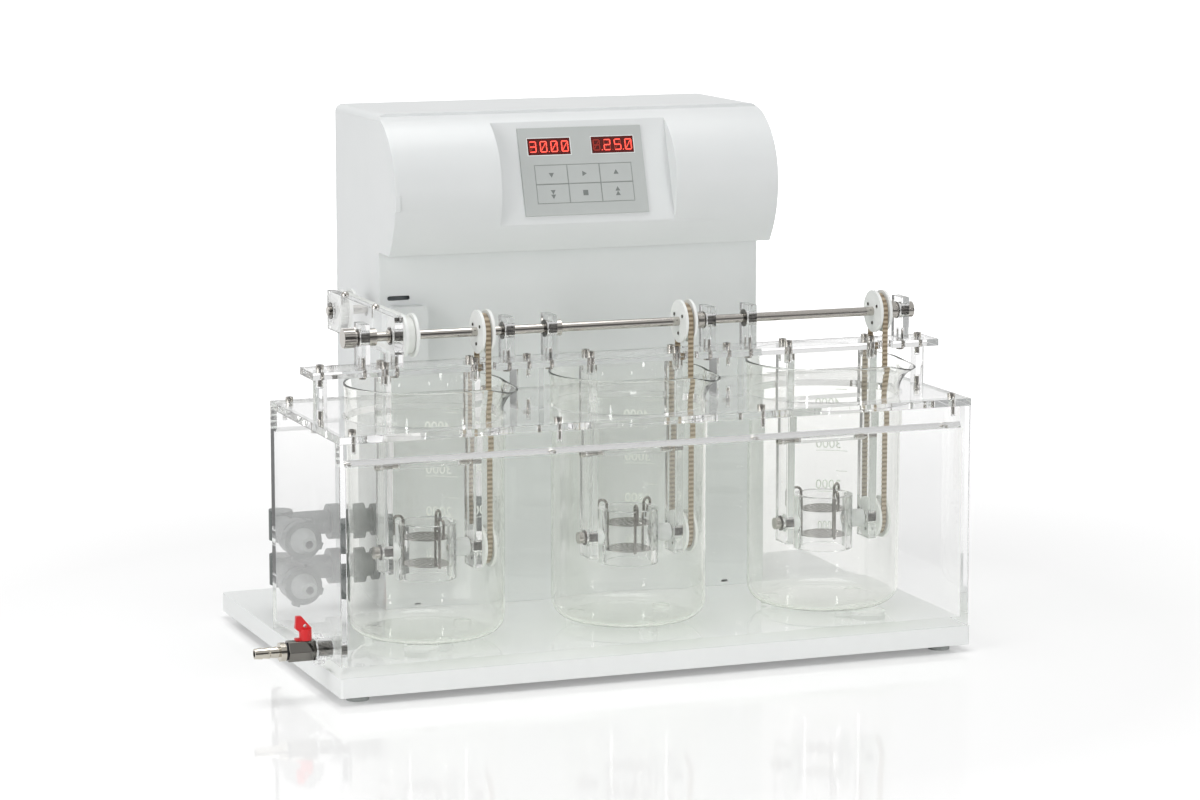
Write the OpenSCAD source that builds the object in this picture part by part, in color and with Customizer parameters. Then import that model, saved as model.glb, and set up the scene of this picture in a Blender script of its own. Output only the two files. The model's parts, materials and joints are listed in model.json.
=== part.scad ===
// Suppository disintegration tester: clear water bath with three beakers, turning
// sleeves on a belt-driven shaft, and a white control tower behind.
// Lengths in mm. X runs along the bench to the right, -Y is the front, Z is up.
// Bench coordinates inside the modules: x from the middle of the base plate,
// y from its front edge, z from the table. place() moves them to the row's frame.

/* [Base] */
// length of the base plate
base_l = 728; // [716:2:760]
// depth of the base plate
base_d = 470; // [462:2:500]
// thickness of the base plate
base_t = 21; // [16:1:28]
// corner radius of the base plate
base_r = 4; // [2:1:10]
// height of the feet
foot_h = 8; // [5:1:14]
// diameter of the feet
foot_d = 24; // [18:1:34]
// distance of a foot's centre from both edges
foot_in = 26; // [20:1:60]

/* [Bath] */
// gap from the base plate's edge to the bath
tank_in = 2; // [0:0.5:4]
// outside depth of the bath
tank_d = 260; // [250:2:280]
// thickness of the bath's walls
wall_t = 8; // [6:0.5:10]
// thickness of the bath's floor
floor_t = 10; // [8:1:14]
// height of the walls above the floor
wall_h = 237; // [228:1:242]
// thickness of the cover
cover_t = 8; // [6:0.5:10]
// width of the screw rails under the cover
rail_w = 12; // [10:1:14]
// height of the screw rails
rail_h = 25; // [16:1:30]
// height of the small rests under the beakers
rest_h = 8.5; // [5:0.5:10]
// clearance around a beaker in the cover
cover_gap = 2.5; // [1.5:0.5:4]

/* [Beakers] */
// distance between two stations
pitch = 233.5; // [231:0.5:238]
// station centre line from the base's front edge
station_y = 113.5; // [110:0.5:125]
// outside diameter of a beaker
beaker_d = 170; // [160:1:174]
// height of a beaker
beaker_h = 272; // [260:1:274]
// thickness of the glass
glass_t = 2.6; // [2:0.1:3.5]
// radius at the bottom of a beaker
beaker_r = 20; // [12:1:28]
// radius of the bead around the rim
bead_r = 2.2; // [1.8:0.1:2.6]
// direction of the pouring lip, counted from the right
lip_turn = -38; // [-70:1:-20]

/* [Bridge] */
// depth of the bridge plate
bridge_d = 48; // [46:1:60]
// thickness of the bridge plate
bridge_t = 8; // [6:0.5:10]
// height of the bridge's top above the cover's top
bridge_up = 54.5; // [53:0.5:62]
// diameter of the end posts
post_d = 15; // [12:1:18]
// post centre from the bridge's end
post_in = 15; // [14:1:18]
// width of the middle supports
block_w = 30; // [24:1:36]

/* [Shaft] */
// height of the shaft above the bridge's top
shaft_up = 31.5; // [30:0.5:40]
// diameter of the shaft
shaft_d = 10; // [8:0.5:12]
// thickness of an upright
up_t = 10; // [8:0.5:11]
// depth of an upright
up_d = 26; // [24:1:32]
// height of an upright above the shaft
up_over = 15.5; // [13:0.5:20]
// radial running clearance
run = 0.06; // [0.03:0.01:0.1]
// knob diameter
knob_d = 21; // [18:1:26]
// knob length
knob_l = 15.5; // [12:0.5:17]

/* [Toothed belts] */
// belt pitch
tooth_p = 5; // [5:0.1:5.1]
// teeth on every pulley
pulley_n = 24; // [20:4:28]
// teeth on a station belt
belt_n = 117; // [113:2:117]
// teeth on the motor belt
drive_n = 111; // [109:2:113]
// width of a station belt
belt_w = 6; // [5:0.5:7]
// width of the motor belt
drive_w = 8; // [6:0.5:9]
// flange diameter of the pulleys
flange_d = 47; // [44:1:48]
// flange thickness
flange_t = 3; // [2:0.5:3.5]

/* [Sleeves] */
// outside diameter of a sleeve
sleeve_d = 66; // [60:1:68]
// bore of a sleeve
sleeve_b = 52; // [51:0.5:53]
// height of a sleeve
sleeve_h = 60; // [56:1:64]
// diameter of the trunnion pins
pin_d = 8; // [6:0.5:9]
// thickness of a hanger
hang_t = 10; // [8:0.5:11]
// depth of a hanger
hang_d = 30; // [26:1:34]
// disc diameter of a cage
disc_d = 50; // [49:0.5:50.5]
// distance between the two discs
disc_gap = 30; // [26:1:34]
// diameter of the holes in a disc
hole_d = 4; // [3:0.1:4.4]

/* [Tower] */
// width of the tower
tower_w = 457; // [450:1:470]
// control panel's middle from the base's middle
tower_x = 6; // [0:1:12]
// clearance between the motor pulley and the tower's side
drive_gap = 17.5; // [10:0.5:20]
// tower front from the base's front edge
tower_y = 305; // [303:1:310]
// height of the tower above the base plate
tower_h = 561; // [558:1:580]
// sheet thickness of the tower
sheet = 3; // [2:0.5:4]
// radius of the tower's top edges
edge_r = 9; // [6:1:12]
// reach of the hood in front of the tower
hood_out = 62; // [58:1:66]
// upper radius of the hood
hood_r = 85; // [82:1:90]
// height of the hood, from its bottom edge to the top
hood_h = 154.5; // [150:0.5:160]
// width of the control recess
recess_w = 208; // [190:1:230]
// tilt of the control panel
tilt = 17.5; // [15:0.5:20]
// width of the keypad
pad_w = 147; // [140:1:155]
// height of the keypad
pad_h = 100; // [98:1:104]
// travel of a key
key_go = 0.5; // [0.3:0.1:0.8]

/* [Drain] */
// drain axis from the base's front edge
drain_y = 45; // [36:1:55]
// drain axis above the floor
drain_up = 14; // [13:0.5:18]
// length of the valve from the bath's wall
valve_l = 82; // [78:1:90]

/* [Hidden] */
$fn = 96;
e = 0.01;
base_top = foot_h + base_t;
tank_l = base_l - 2 * tank_in;
floor_top = base_top + floor_t;
wall_top = floor_top + wall_h;
cover_top = wall_top + cover_t;
beaker_z = floor_top + rest_h;
bridge_top = cover_top + bridge_up;
bridge_low = bridge_top - bridge_t;
shaft_z = bridge_top + shaft_up;
pulley_r = pulley_n * tooth_p / (2 * PI);
land_r = pulley_r - 0.42;
belt_back = 1.0;
tooth_h = 1.2;
tooth_foot = 1.32;
tooth_tip = 0.88;
groove_h = 1.9;
belt_c = (belt_n - pulley_n) * tooth_p / 2;
drive_c = (drive_n - pulley_n) * tooth_p / 2;
pivot_z = shaft_z - belt_c;
motor_y = station_y + drive_c;
motor_d = 2 * (motor_y - tower_y - sheet - 1);
sleeve_r = sleeve_d / 2;
hang_l = -46;
hang_r = 54;
hang_low = pivot_z - 22;
pulley_x = hang_r + hang_t / 2 + 0.5 + flange_t + 4;
core_w = 8;
drive_core = drive_w + 1;
up_left = -91;
up_right = 94;
first_up = -pitch - 68.5;
plate_x = -pitch - 32.5;
plate_t = 10;
hub_l = 5;
drive_x = plate_x + plate_t / 2 + 1 + flange_t + drive_core / 2;
knob_x = first_up - up_t / 2 - 1.2;
set_screw_d = 3;
tower_l = drive_x + drive_core / 2 + flange_t + hub_l + drive_gap;
tower_rx = tower_l + tower_w;
tower_mid = tower_l + tower_w / 2;
tower_back_y = base_d - 4;
tower_top = base_top + tower_h;
hood_low = tower_top - hood_h;
hood_cz = tower_top - hood_r;
hood_front = tower_y - hood_out;
low_r = 112;
recess_y = tower_y - 37.5;
recess_z = tower_top - 67;
pad_out = 1.2;
pad_l = 18;
plate_n = 2;
win_w = 50.5;
win_h = 19;
win_x = 38;
win_y = pad_h / 2 - 12 - win_h / 2;
key_w = 38.6;
key_h = 22;
key_gap = 0.35;
key_y = -14.5;
key_t = 1.2;
drain_z = floor_top + drain_up;
drain_d = 16;
boss_d = 33;
boss_l = 17;
body_l = 29.5;
body_flat = 21;
tail_d = 11;
stem_d = 5;
seal_l = 2.5;
lever_x = -tank_l / 2 - boss_l - 9.5;
lever_w = 12.4;
lever_h = 12;
blade_t = 5;
blade_h = 26;
coupling_x = 28;
neck_d = 22;
ring_d = 42;
lug_r = 24;
ring_l = 12;
nozzle_l = 24;
elbow_d = 32;
pipe_d = 27;
pipe_bore = 18;
bath_x = -tank_l / 2 + wall_t + coupling_x;
bath_zs = [base_top + 100, base_top + 49];
screw_xs = [-base_l / 2 + 20, -pitch / 2, pitch / 2, base_l / 2 - 20];
back_cx = tower_l + 78.5;
foot_slot_in = 40.5;
vent_in = 54.5;
vent_l = 120;
inlet_z = base_top + 60;
rest_turns = [30, 150, 270];
rest_d = 20;
rest_in = beaker_r + 6;
wide_rest_d = 38;
wide_in = 9;
pin_wall = 12;
screw_in = 10;
hole_in = screw_in + 2;
gear_l = 42;
motor_l = 76;
pump_l = 96;
pump_d = 76;
pump_h = 128;
heater_d = 66;
heater_h = 72;
supply_l = 150;
supply_h = 44;
supply_in = 38;
fin_t = 14;
fin_p = 24;

module place() {
    translate([(valve_l - tank_in) / 2, -base_d / 2, 0]) children();
}

// box from its lowest corner to its highest corner
module span(a, b) {
    translate(a) cube(b - a);
}

// cylinder along X, from x0 to x1
module rod_x(x0, x1, y, z, d) {
    translate([x0, y, z]) rotate([0, 90, 0]) cylinder(h = x1 - x0, d = d);
}

// cylinder along Y, from y0 to y1
module rod_y(x, y0, y1, z, d) {
    translate([x, y0, z]) rotate([-90, 0, 0]) cylinder(h = y1 - y0, d = d);
}

// upright cylinder from z0 to z1
module rod_z(x, y, z0, z1, d) {
    translate([x, y, z0]) cylinder(h = z1 - z0, d = d);
}

module at_stations() {
    for (k = [-1, 0, 1]) translate([k * pitch, station_y, 0]) children();
}

module at_station(k) {
    translate([(k - 2) * pitch, station_y, 0]) children();
}

// base

module base_plate() {
    color("#DADCDD") difference() {
        translate([0, base_d / 2, foot_h]) linear_extrude(base_t) plan(base_l, base_d, base_r);
        for (x = [-1, 1]) for (y = [foot_in, base_d - foot_in])
            rod_z(x * (base_l / 2 - foot_in), y, foot_h - e, foot_h + 10, 5);
    }
}

module plan(w, d, r) {
    union() {
        square([w - 2 * r, d], center = true);
        square([w, d - 2 * r], center = true);
        for (x = [-1, 1]) for (y = [-1, 1])
            translate([x * (w / 2 - r), y * (d / 2 - r)]) circle(r);
    }
}

module base_feet() {
    color("#8E9290") for (x = [-1, 1]) for (y = [foot_in, base_d - foot_in])
        translate([x * (base_l / 2 - foot_in), y, 0]) {
            cylinder(h = foot_h, d = foot_d);
            translate([0, 0, foot_h - 1]) cylinder(h = 9, d = 4.9);
        }
}

// bath

module tank_floor() {
    color("#E8F0EE") {
        span([-tank_l / 2, tank_in, base_top], [tank_l / 2, tank_in + tank_d, floor_top]);
        at_stations() for (a = rest_turns) rest(a, beaker_d / 2 - rest_in, rest_d);
        // a wider rest at the front of each outer beaker
        at_station(1) rest(248, beaker_d / 2 - wide_in, wide_rest_d);
        at_station(3) rest(288, beaker_d / 2 - wide_in, wide_rest_d);
    }
}

// round rest on the floor, in the direction a from a beaker's axis
module rest(a, out, d) {
    rotate(a) translate([out, 0, floor_top - 1]) cylinder(h = rest_h + 1, d = d);
}

module tank_long_walls() {
    color("#E8F0EE") {
        span([-tank_l / 2, tank_in, floor_top], [tank_l / 2, tank_in + wall_t, wall_top]);
        difference() {
            span([-tank_l / 2, tank_in + tank_d - wall_t, floor_top],
                [tank_l / 2, tank_in + tank_d, wall_top]);
            for (z = bath_zs)
                rod_y(bath_x, tank_in + tank_d - wall_t - 1, tank_in + tank_d + 1, z, neck_d);
        }
    }
}

module tank_end_walls() {
    color("#E8F0EE") for (s = [-1, 1]) difference() {
        span([min(s * tank_l / 2, s * (tank_l / 2 - wall_t)), tank_in + wall_t, floor_top],
            [max(s * tank_l / 2, s * (tank_l / 2 - wall_t)), tank_in + tank_d - wall_t, wall_top]);
        if (s < 0) rod_x(-tank_l / 2 - 1, -tank_l / 2 + wall_t + 1, drain_y, drain_z, drain_d);
    }
    // clear stepped boss that takes the drain valve's thread
    color("#E8F0EE") difference() {
        union() {
            rod_x(-tank_l / 2 - boss_l, -tank_l / 2 + e, drain_y, drain_z, 2 * drain_up - 4);
            rod_x(-tank_l / 2 - boss_l, -tank_l / 2 - boss_l / 2, drain_y, drain_z, boss_d);
        }
        rod_x(-tank_l / 2 - boss_l - 1, -tank_l / 2 + 1, drain_y, drain_z, drain_d);
    }
}

module cover_rails() {
    color("#E8F0EE") for (m = [0, 1]) difference() {
        translate([0, tank_in + tank_d / 2, 0]) mirror([0, m, 0])
            translate([-tank_l / 2 + wall_t, -tank_d / 2 + wall_t, 0])
                rotate([90, 0, 90]) linear_extrude(tank_l - 2 * wall_t)
                    polygon([[0, wall_top - rail_h], [rail_w - 6, wall_top - rail_h],
                        [rail_w, wall_top - rail_h + 6], [rail_w, wall_top], [0, wall_top]]);
        for (x = screw_xs)
            rod_z(x, rail_row(m), wall_top - hole_in, wall_top + 1, 5);
    }
}

function rail_row(m) = m == 0 ? tank_in + wall_t + rail_w / 2 : tank_in + tank_d - wall_t - rail_w / 2;

module cover_plate() {
    color("#E8F0EE") difference() {
        span([-tank_l / 2, tank_in, wall_top], [tank_l / 2, tank_in + tank_d, cover_top]);
        at_stations() translate([0, 0, wall_top - 1]) cylinder(h = cover_t + 2, d = beaker_d + 2 * cover_gap);
        for (m = [0, 1]) for (x = screw_xs)
            rod_z(x, rail_row(m), wall_top - 1, cover_top + 1, 5);
        for (x = support_xs()) rod_z(x, station_y, wall_top - 1, cover_top + 1, 5);
    }
}

function support_xs() = [-base_l / 2 + post_in, -pitch / 2, pitch / 2, base_l / 2 - post_in];

// cap screw pointing down, with its head's underside at z = 0
module cap_screw(l) {
    translate([0, 0, -l]) cylinder(h = l + 1, d = 5);
    difference() {
        cylinder(h = 5, d = 8.5);
        translate([0, 0, 2.5]) cylinder(h = 3, d = 4.6, $fn = 6);
    }
}

module clear_work_screws() {
    color("#C9C6BF") {
        for (m = [0, 1]) for (x = screw_xs)
            translate([x, rail_row(m), cover_top]) cap_screw(cover_t + screw_in);
        for (x = support_xs()) {
            translate([x, station_y, bridge_top]) cap_screw(bridge_t + screw_in);
            translate([x, station_y, wall_top]) mirror([0, 0, 1]) cap_screw(cover_t + screw_in);
        }
        at_stations() for (x = [hang_l, hang_r]) for (y = [-8, 8])
            translate([x, y, bridge_top]) cap_screw(bridge_t + screw_in);
        at_stations() {
            translate([hang_l - hang_t / 2, 0, tie_z()]) rotate([0, -90, 0]) cap_screw(hang_t + screw_in);
            translate([hang_r + hang_t / 2, 0, tie_z()]) rotate([0, 90, 0]) tie_screw();
        }
        for (x = concat(upright_xs(), [plate_x]))
            translate([x, station_y, bridge_low]) mirror([0, 0, 1]) cap_screw(bridge_t + screw_in);
        for (y = [station_y + 66, station_y + 178]) translate([plate_x, y, shaft_z + 22]) dome_screw();
    }
}

// round-headed screw in the drive plate's top edge
module dome_screw() {
    translate([0, 0, -10]) cylinder(h = 11, d = 4);
    difference() {
        sphere(d = 9);
        translate([0, 0, -10]) cylinder(h = 10, d = 12);
    }
}

// flat-headed screw for the belt side of a hanger
module tie_screw() {
    translate([0, 0, -hang_t - screw_in]) cylinder(h = hang_t + screw_in, d = 5);
}

function tie_z() = bridge_low - 100;

// beakers

module beaker() {
    r = beaker_d / 2;
    difference() {
        union() {
            rotate_extrude() union() {
                square([r - beaker_r, beaker_h - bead_r]);
                translate([0, beaker_r]) square([r, beaker_h - beaker_r - bead_r]);
                translate([r - beaker_r, beaker_r]) circle(beaker_r);
            }
            translate([0, 0, beaker_h - bead_r]) rotate_extrude() union() {
                square([r, bead_r]);
                translate([r, 0]) circle(bead_r);
            }
            rotate(lip_turn) lip(0);
        }
        rotate_extrude() union() {
            translate([0, glass_t]) square([r - beaker_r, beaker_h]);
            translate([0, beaker_r]) square([r - glass_t, beaker_h]);
            translate([r - beaker_r, beaker_r]) circle(beaker_r - glass_t);
        }
        rotate(lip_turn) lip(glass_t);
    }
}

// pouring lip: a cone leaning out of the rim
module lip(thin) {
    intersection() {
        translate([beaker_d / 2 - 15, 0, beaker_h - 34]) rotate([0, 24, 0])
            cylinder(h = 60, r1 = 4 - thin, r2 = 22 - thin);
        translate([0, -40, beaker_h - 30]) cube([beaker_d, 80, 30 + (thin > 0 ? 1 : 0)]);
    }
}

module beaker_1() { color("#DDE8E4") at_station(1) translate([0, 0, beaker_z]) beaker(); }
module beaker_2() { color("#DDE8E4") at_station(2) translate([0, 0, beaker_z]) beaker(); }
module beaker_3() { color("#DDE8E4") at_station(3) translate([0, 0, beaker_z]) beaker(); }

// bridge

module bridge_plate() {
    color("#E8F0EE") difference() {
        span([-base_l / 2, station_y - bridge_d / 2, bridge_low],
            [base_l / 2, station_y + bridge_d / 2, bridge_top]);
        at_stations() for (s = [-1, 1])
            translate([pulley_x - 7, s > 0 ? land_r - 5 : -bridge_d / 2 - 1, bridge_low - 1])
                cube([14, bridge_d / 2 + 6 - land_r, bridge_t + 2]);
        at_stations() for (x = [hang_l, hang_r]) for (y = [-8, 8])
            rod_z(x, y, bridge_low - 1, bridge_top + 1, 5);
        for (x = support_xs()) rod_z(x, station_y, bridge_low - 1, bridge_top + 1, 5);
        for (x = upright_xs()) rod_z(x, station_y, bridge_low - 1, bridge_top + 1, 5);
        rod_z(plate_x, station_y, bridge_low - 1, bridge_top + 1, 5);
    }
}

module bridge_supports() {
    color("#E8F0EE") for (k = [0 : 3]) difference() {
        if (k == 0 || k == 3)
            rod_z(support_xs()[k], station_y, cover_top, bridge_low, post_d);
        else
            span([support_xs()[k] - block_w / 2, station_y - 14, cover_top],
                [support_xs()[k] + block_w / 2, station_y + 14, bridge_low]);
        rod_z(support_xs()[k], station_y, cover_top - 1, cover_top + hole_in, 5);
        rod_z(support_xs()[k], station_y, bridge_low - hole_in, bridge_low + 1, 5);
    }
}

function upright_xs() = [first_up, -pitch + up_right, up_left, up_right, pitch + up_left, pitch + up_right];

module shaft_uprights() {
    color("#E8F0EE") for (x = upright_xs()) difference() {
        span([x - up_t / 2, station_y - up_d / 2, bridge_top],
            [x + up_t / 2, station_y + up_d / 2, shaft_z + up_over]);
        rod_x(x - up_t, x + up_t, station_y, shaft_z, shaft_d + 6);
        rod_z(x, station_y, bridge_top - 1, bridge_top + hole_in, 5);
    }
}

// flanged bush along X in a plate whose left face is at x0
module bush(x0, t, y, z, bore, flange) {
    difference() {
        union() {
            rod_x(x0, x0 + t, y, z, bore + 6);
            rod_x(x0 - flange, x0, y, z, bore + 9);
        }
        rod_x(x0 - flange - 1, x0 + t + 1, y, z, bore + 2 * run);
    }
}

module bushings() {
    color("#55524D") {
        for (x = upright_xs()) bush(x - up_t / 2, up_t, station_y, shaft_z, shaft_d, 1);
        bush(plate_x - plate_t / 2, plate_t, station_y, shaft_z, shaft_d, 1);
        bush(plate_x - plate_t / 2, plate_t, motor_y, shaft_z, shaft_d, 1);
        at_stations() {
            bush(hang_l - hang_t / 2, hang_t, 0, pivot_z, pin_d, 1);
            bush(hang_r - hang_t / 2, hang_t, 0, pivot_z, pin_d, 1);
        }
    }
}

module drive_plate() {
    color("#E8F0EE") difference() {
        union() {
            span([plate_x - plate_t / 2, station_y - 16, bridge_top],
                [plate_x + plate_t / 2, station_y + bridge_d / 2, shaft_z + 22]);
            span([plate_x - plate_t / 2, station_y + bridge_d / 2 - 1, shaft_z - 22],
                [plate_x + plate_t / 2, motor_y + 14, shaft_z + 22]);
        }
        for (y = [station_y, motor_y])
            rod_x(plate_x - plate_t, plate_x + plate_t, y, shaft_z, shaft_d + 6);
        rod_z(plate_x, station_y, bridge_top - 1, bridge_top + hole_in, 5);
        for (y = [station_y + 66, station_y + 178]) rod_z(plate_x, y, shaft_z + 11, shaft_z + 23, 4);
    }
}

// hangers

module hangers() {
    color("#E8F0EE") at_stations() for (x = [hang_l, hang_r]) difference() {
        span([x - hang_t / 2, -hang_d / 2, hang_low], [x + hang_t / 2, hang_d / 2, bridge_low]);
        rod_x(x - hang_t, x + hang_t, 0, pivot_z, pin_d + 6);
        rod_x(x - hang_t, x + hang_t, 0, tie_z(), 5);
        for (y = [-8, 8]) rod_z(x, y, bridge_low - hole_in, bridge_low + 1, 5);
    }
}

module hanger_ties() {
    color("#E8F0EE") at_stations() difference() {
        rod_x(hang_l + hang_t / 2, hang_r - hang_t / 2, 0, tie_z(), 9);
        rod_x(hang_l, hang_l + hang_t / 2 + hole_in, 0, tie_z(), 5);
        rod_x(hang_r - hang_t / 2 - hole_in, hang_r, 0, tie_z(), 5);
    }
}

// toothed belts and pulleys, drawn in a plane with the first axis at the origin
// and the second axis a distance c along -y

// round-ended outline at a distance r from the line between the two axes
module loop_2d(c, r) {
    translate([-r, -c]) square([2 * r, c]);
    circle(r);
    translate([0, -c]) circle(r);
}

// toothed inner side of the straight run at x = r, from the tooth a to the tooth b
function run_pts(r, a, b) = concat(
    [[r + belt_back / 2, -a * tooth_p + tooth_foot]],
    [for (i = [a : b]) each [[r, tooth_foot - i * tooth_p], [r - tooth_h, tooth_tip - i * tooth_p],
        [r - tooth_h, -tooth_tip - i * tooth_p], [r, -tooth_foot - i * tooth_p]]],
    [[r + belt_back / 2, -b * tooth_p - tooth_foot]]);

// belt with teeth on its two straight runs. It is drawn smooth where it lies on the
// lands of a pulley, so that the pulleys turn freely under a belt that stays still.
module belt_2d(c) {
    in_r = land_r + run;
    first = ceil((sqrt(in_r ^ 2 - (in_r - tooth_h) ^ 2) + tooth_foot) / tooth_p);
    last = floor(c / tooth_p) - first;
    difference() {
        loop_2d(c, in_r + belt_back);
        loop_2d(c, in_r);
    }
    for (m = [0, 1]) mirror([m, 0]) polygon(run_pts(in_r, first, last));
}

// pulley profile, turned half a tooth where the belt meets it on half a pitch
module gear_2d(half) {
    difference() {
        circle(land_r);
        for (i = [0 : pulley_n - 1])
            rotate(i * 360 / pulley_n + (half ? 180 / pulley_n : 0)) translate([0, land_r])
                polygon([[-1.75, 0.5], [1.75, 0.5], [1.62, -0.05],
                    [1.1, -groove_h], [-1.1, -groove_h], [-1.62, -0.05]]);
    }
}

// stands a drawing in the plane across X: its y becomes Z and its x becomes Y
module across() {
    rotate([90, 0, 90]) children();
}

module cell_belts() {
    color("#9A8B78") at_stations() translate([pulley_x - belt_w / 2, 0, shaft_z]) across()
        linear_extrude(belt_w) belt_2d(belt_c);
}

module drive_belt() {
    color("#EDEFEC") translate([drive_x - drive_w / 2, station_y, shaft_z]) rotate([90, 0, 0]) across()
        linear_extrude(drive_w) belt_2d(drive_c);
}

// flanged pulley along X, centred on x = 0
module pulley(w, half, bore, hub) {
    difference() {
        union() {
            translate([-w / 2, 0, 0]) across() linear_extrude(w) gear_2d(half);
            for (x = [-w / 2 - flange_t, w / 2 - e]) rod_x(x, x + flange_t + e, 0, 0, flange_d);
            if (hub > 0) rod_x(w / 2, w / 2 + flange_t + hub, 0, 0, bore + 10);
        }
        rod_x(-w, w + hub + 10, 0, 0, bore);
        // seats of the three flange screws on each side
        for (a = [60, 180, 300]) rotate([a, 0, 0]) for (s = [-1, 1])
            rod_x(s > 0 ? w / 2 + flange_t - 1 : -w / 2 - flange_t - 1,
                s > 0 ? w / 2 + flange_t + 1 : -w / 2 - flange_t + 1, 0, land_r - 5.5, 4.6);
    }
}

module shaft_pulleys() {
    color("#EEF0EE") at_stations() translate([pulley_x, 0, shaft_z]) pulley(core_w, false, shaft_d, 0);
}

module drive_pulley() {
    color("#EEF0EE") translate([drive_x, station_y, shaft_z]) pulley(drive_core, false, shaft_d, hub_l);
}

module motor_pulley() {
    color("#EEF0EE") translate([drive_x, motor_y, shaft_z])
        pulley(drive_core, (drive_n - pulley_n) % 2 != 0, shaft_d, hub_l);
}

module motor_shaft() {
    color("#C9C6BF") rod_x(plate_x - plate_t / 2 - 4, tower_l + sheet + 12, motor_y, shaft_z, shaft_d);
}

// shaft

module drive_shaft() {
    color("#C9C6BF")
        rod_x(knob_x - knob_l + 2, pitch + up_right + up_t / 2 + 9, station_y, shaft_z, shaft_d);
}

module shaft_knob() {
    color("#B9B2A6") difference() {
        union() {
            rod_x(knob_x - knob_l, knob_x - 3, station_y, shaft_z, knob_d);
            rod_x(knob_x - 3, knob_x, station_y, shaft_z, shaft_d + 5);
        }
        rod_x(knob_x - knob_l + 2, knob_x + 1, station_y, shaft_z, shaft_d);
        for (i = [0 : 23]) translate([knob_x - knob_l - 1, station_y, shaft_z]) rotate([i * 15, 0, 0])
            translate([0, 0, knob_d / 2 + 0.4]) rotate([0, 90, 0]) cylinder(h = knob_l - 1.5, d = 2, $fn = 4);
    }
}

// shaft ring, with a set-screw hole on top where it is long enough to be a collar
module collar(x0, l, d) {
    difference() {
        rod_x(x0, x0 + l, station_y, shaft_z, d);
        rod_x(x0 - 1, x0 + l + 1, station_y, shaft_z, shaft_d);
        if (l > 2 * set_screw_d) rod_z(x0 + l / 2, station_y, shaft_z, shaft_z + d, set_screw_d);
    }
}

module shaft_collars() {
    color("#B9B2A6") {
        collar(first_up + up_t / 2 + 0.2, 9, shaft_d + 9);
        collar(plate_x - plate_t / 2 - 1 - 1.6, 1.4, shaft_d + 5);
        collar(up_left + up_t / 2 + 0.2, 7, shaft_d + 8);
        collar(up_right - up_t / 2 - 1 - 7.2, 7, shaft_d + 8);
        collar(pitch + up_right - up_t / 2 - 1 - 7.2, 7, shaft_d + 8);
        collar(pitch + up_right + up_t / 2 + 0.2, 8, shaft_d + 8);
    }
}

// sleeves

module sleeve() {
    difference() {
        union() {
            translate([0, 0, pivot_z - sleeve_h / 2]) cylinder(h = sleeve_h, d = sleeve_d);
            rod_x(hang_l + hang_t / 2 + 0.4, 0, 0, pivot_z, pin_d + pin_wall);
            rod_x(0, hang_r - hang_t / 2 - 1.4, 0, pivot_z, pin_d + pin_wall);
        }
        translate([0, 0, pivot_z - sleeve_h / 2 - 1]) cylinder(h = sleeve_h + 2, d = sleeve_b);
        rod_x(hang_l, -sleeve_b / 2 - 2.5, 0, pivot_z, pin_d);
        rod_x(sleeve_b / 2 + 2.5, hang_r, 0, pivot_z, pin_d);
    }
}

module trunnion() {
    rod_x(hang_l - hang_t / 2 - 8, -sleeve_b / 2 - 2.5, 0, pivot_z, pin_d);
    rod_x(hang_l - hang_t / 2 - 8, hang_l - hang_t / 2 - 1.2, 0, pivot_z, pin_d + 5);
    rod_x(sleeve_b / 2 + 2.5, pulley_x + core_w / 2 + flange_t + 2, 0, pivot_z, pin_d);
}

module cell_pulley() {
    translate([pulley_x, 0, pivot_z]) pulley(core_w, (belt_n - pulley_n) % 2 != 0, pin_d, 0);
}

// perforated disc: rings of 1, 6, 13 and 19 holes
module disc(z) {
    translate([0, 0, z]) difference() {
        cylinder(h = 1.2, d = disc_d);
        translate([0, 0, -1]) cylinder(h = 4, d = hole_d, $fn = 24);
        for (q = [[6, 6.6], [13, 13.2], [19, 19.6]]) for (i = [0 : q[0] - 1])
            rotate(i * 360 / q[0]) translate([q[1] * disc_d / 50, 0, -1])
                cylinder(h = 4, d = hole_d, $fn = 24);
    }
}

// two discs on three rods that hook over the sleeve's rim
module cage(turn) {
    wire = 3;
    in_r = sleeve_b / 2 - wire / 2 - 0.05;
    out_r = sleeve_r + wire / 2 + 0.05;
    top = sleeve_h / 2 + 2;
    translate([0, 0, pivot_z]) rotate(turn) {
        disc(-disc_gap / 2);
        disc(disc_gap / 2 - 1.2);
        for (a = [0, 120, 240]) rotate(a) {
            translate([in_r, 0, -disc_gap / 2 - 2]) cylinder(h = disc_gap / 2 + 2 + top, d = wire, $fn = 32);
            translate([out_r, 0, top - 16]) cylinder(h = 16, d = wire, $fn = 32);
            translate([(in_r + out_r) / 2, 0, top]) rotate([90, 0, 0]) rotate_extrude(angle = 180)
                translate([(out_r - in_r) / 2, 0]) circle(d = wire, $fn = 32);
        }
    }
}

module sleeve_1() { color("#E4ECEA") at_station(1) sleeve(); }
module sleeve_2() { color("#E4ECEA") at_station(2) sleeve(); }
module sleeve_3() { color("#E4ECEA") at_station(3) sleeve(); }
module trunnion_1() { color("#8F8A80") at_station(1) trunnion(); }
module trunnion_2() { color("#8F8A80") at_station(2) trunnion(); }
module trunnion_3() { color("#8F8A80") at_station(3) trunnion(); }
module cell_pulley_1() { color("#EEF0EE") at_station(1) cell_pulley(); }
module cell_pulley_2() { color("#EEF0EE") at_station(2) cell_pulley(); }
module cell_pulley_3() { color("#EEF0EE") at_station(3) cell_pulley(); }
module cage_1() { color("#C4C1BA") at_station(1) cage(-75); }
module cage_2() { color("#C4C1BA") at_station(2) cage(-95); }
module cage_3() { color("#C4C1BA") at_station(3) cage(-85); }

// tower

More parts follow.
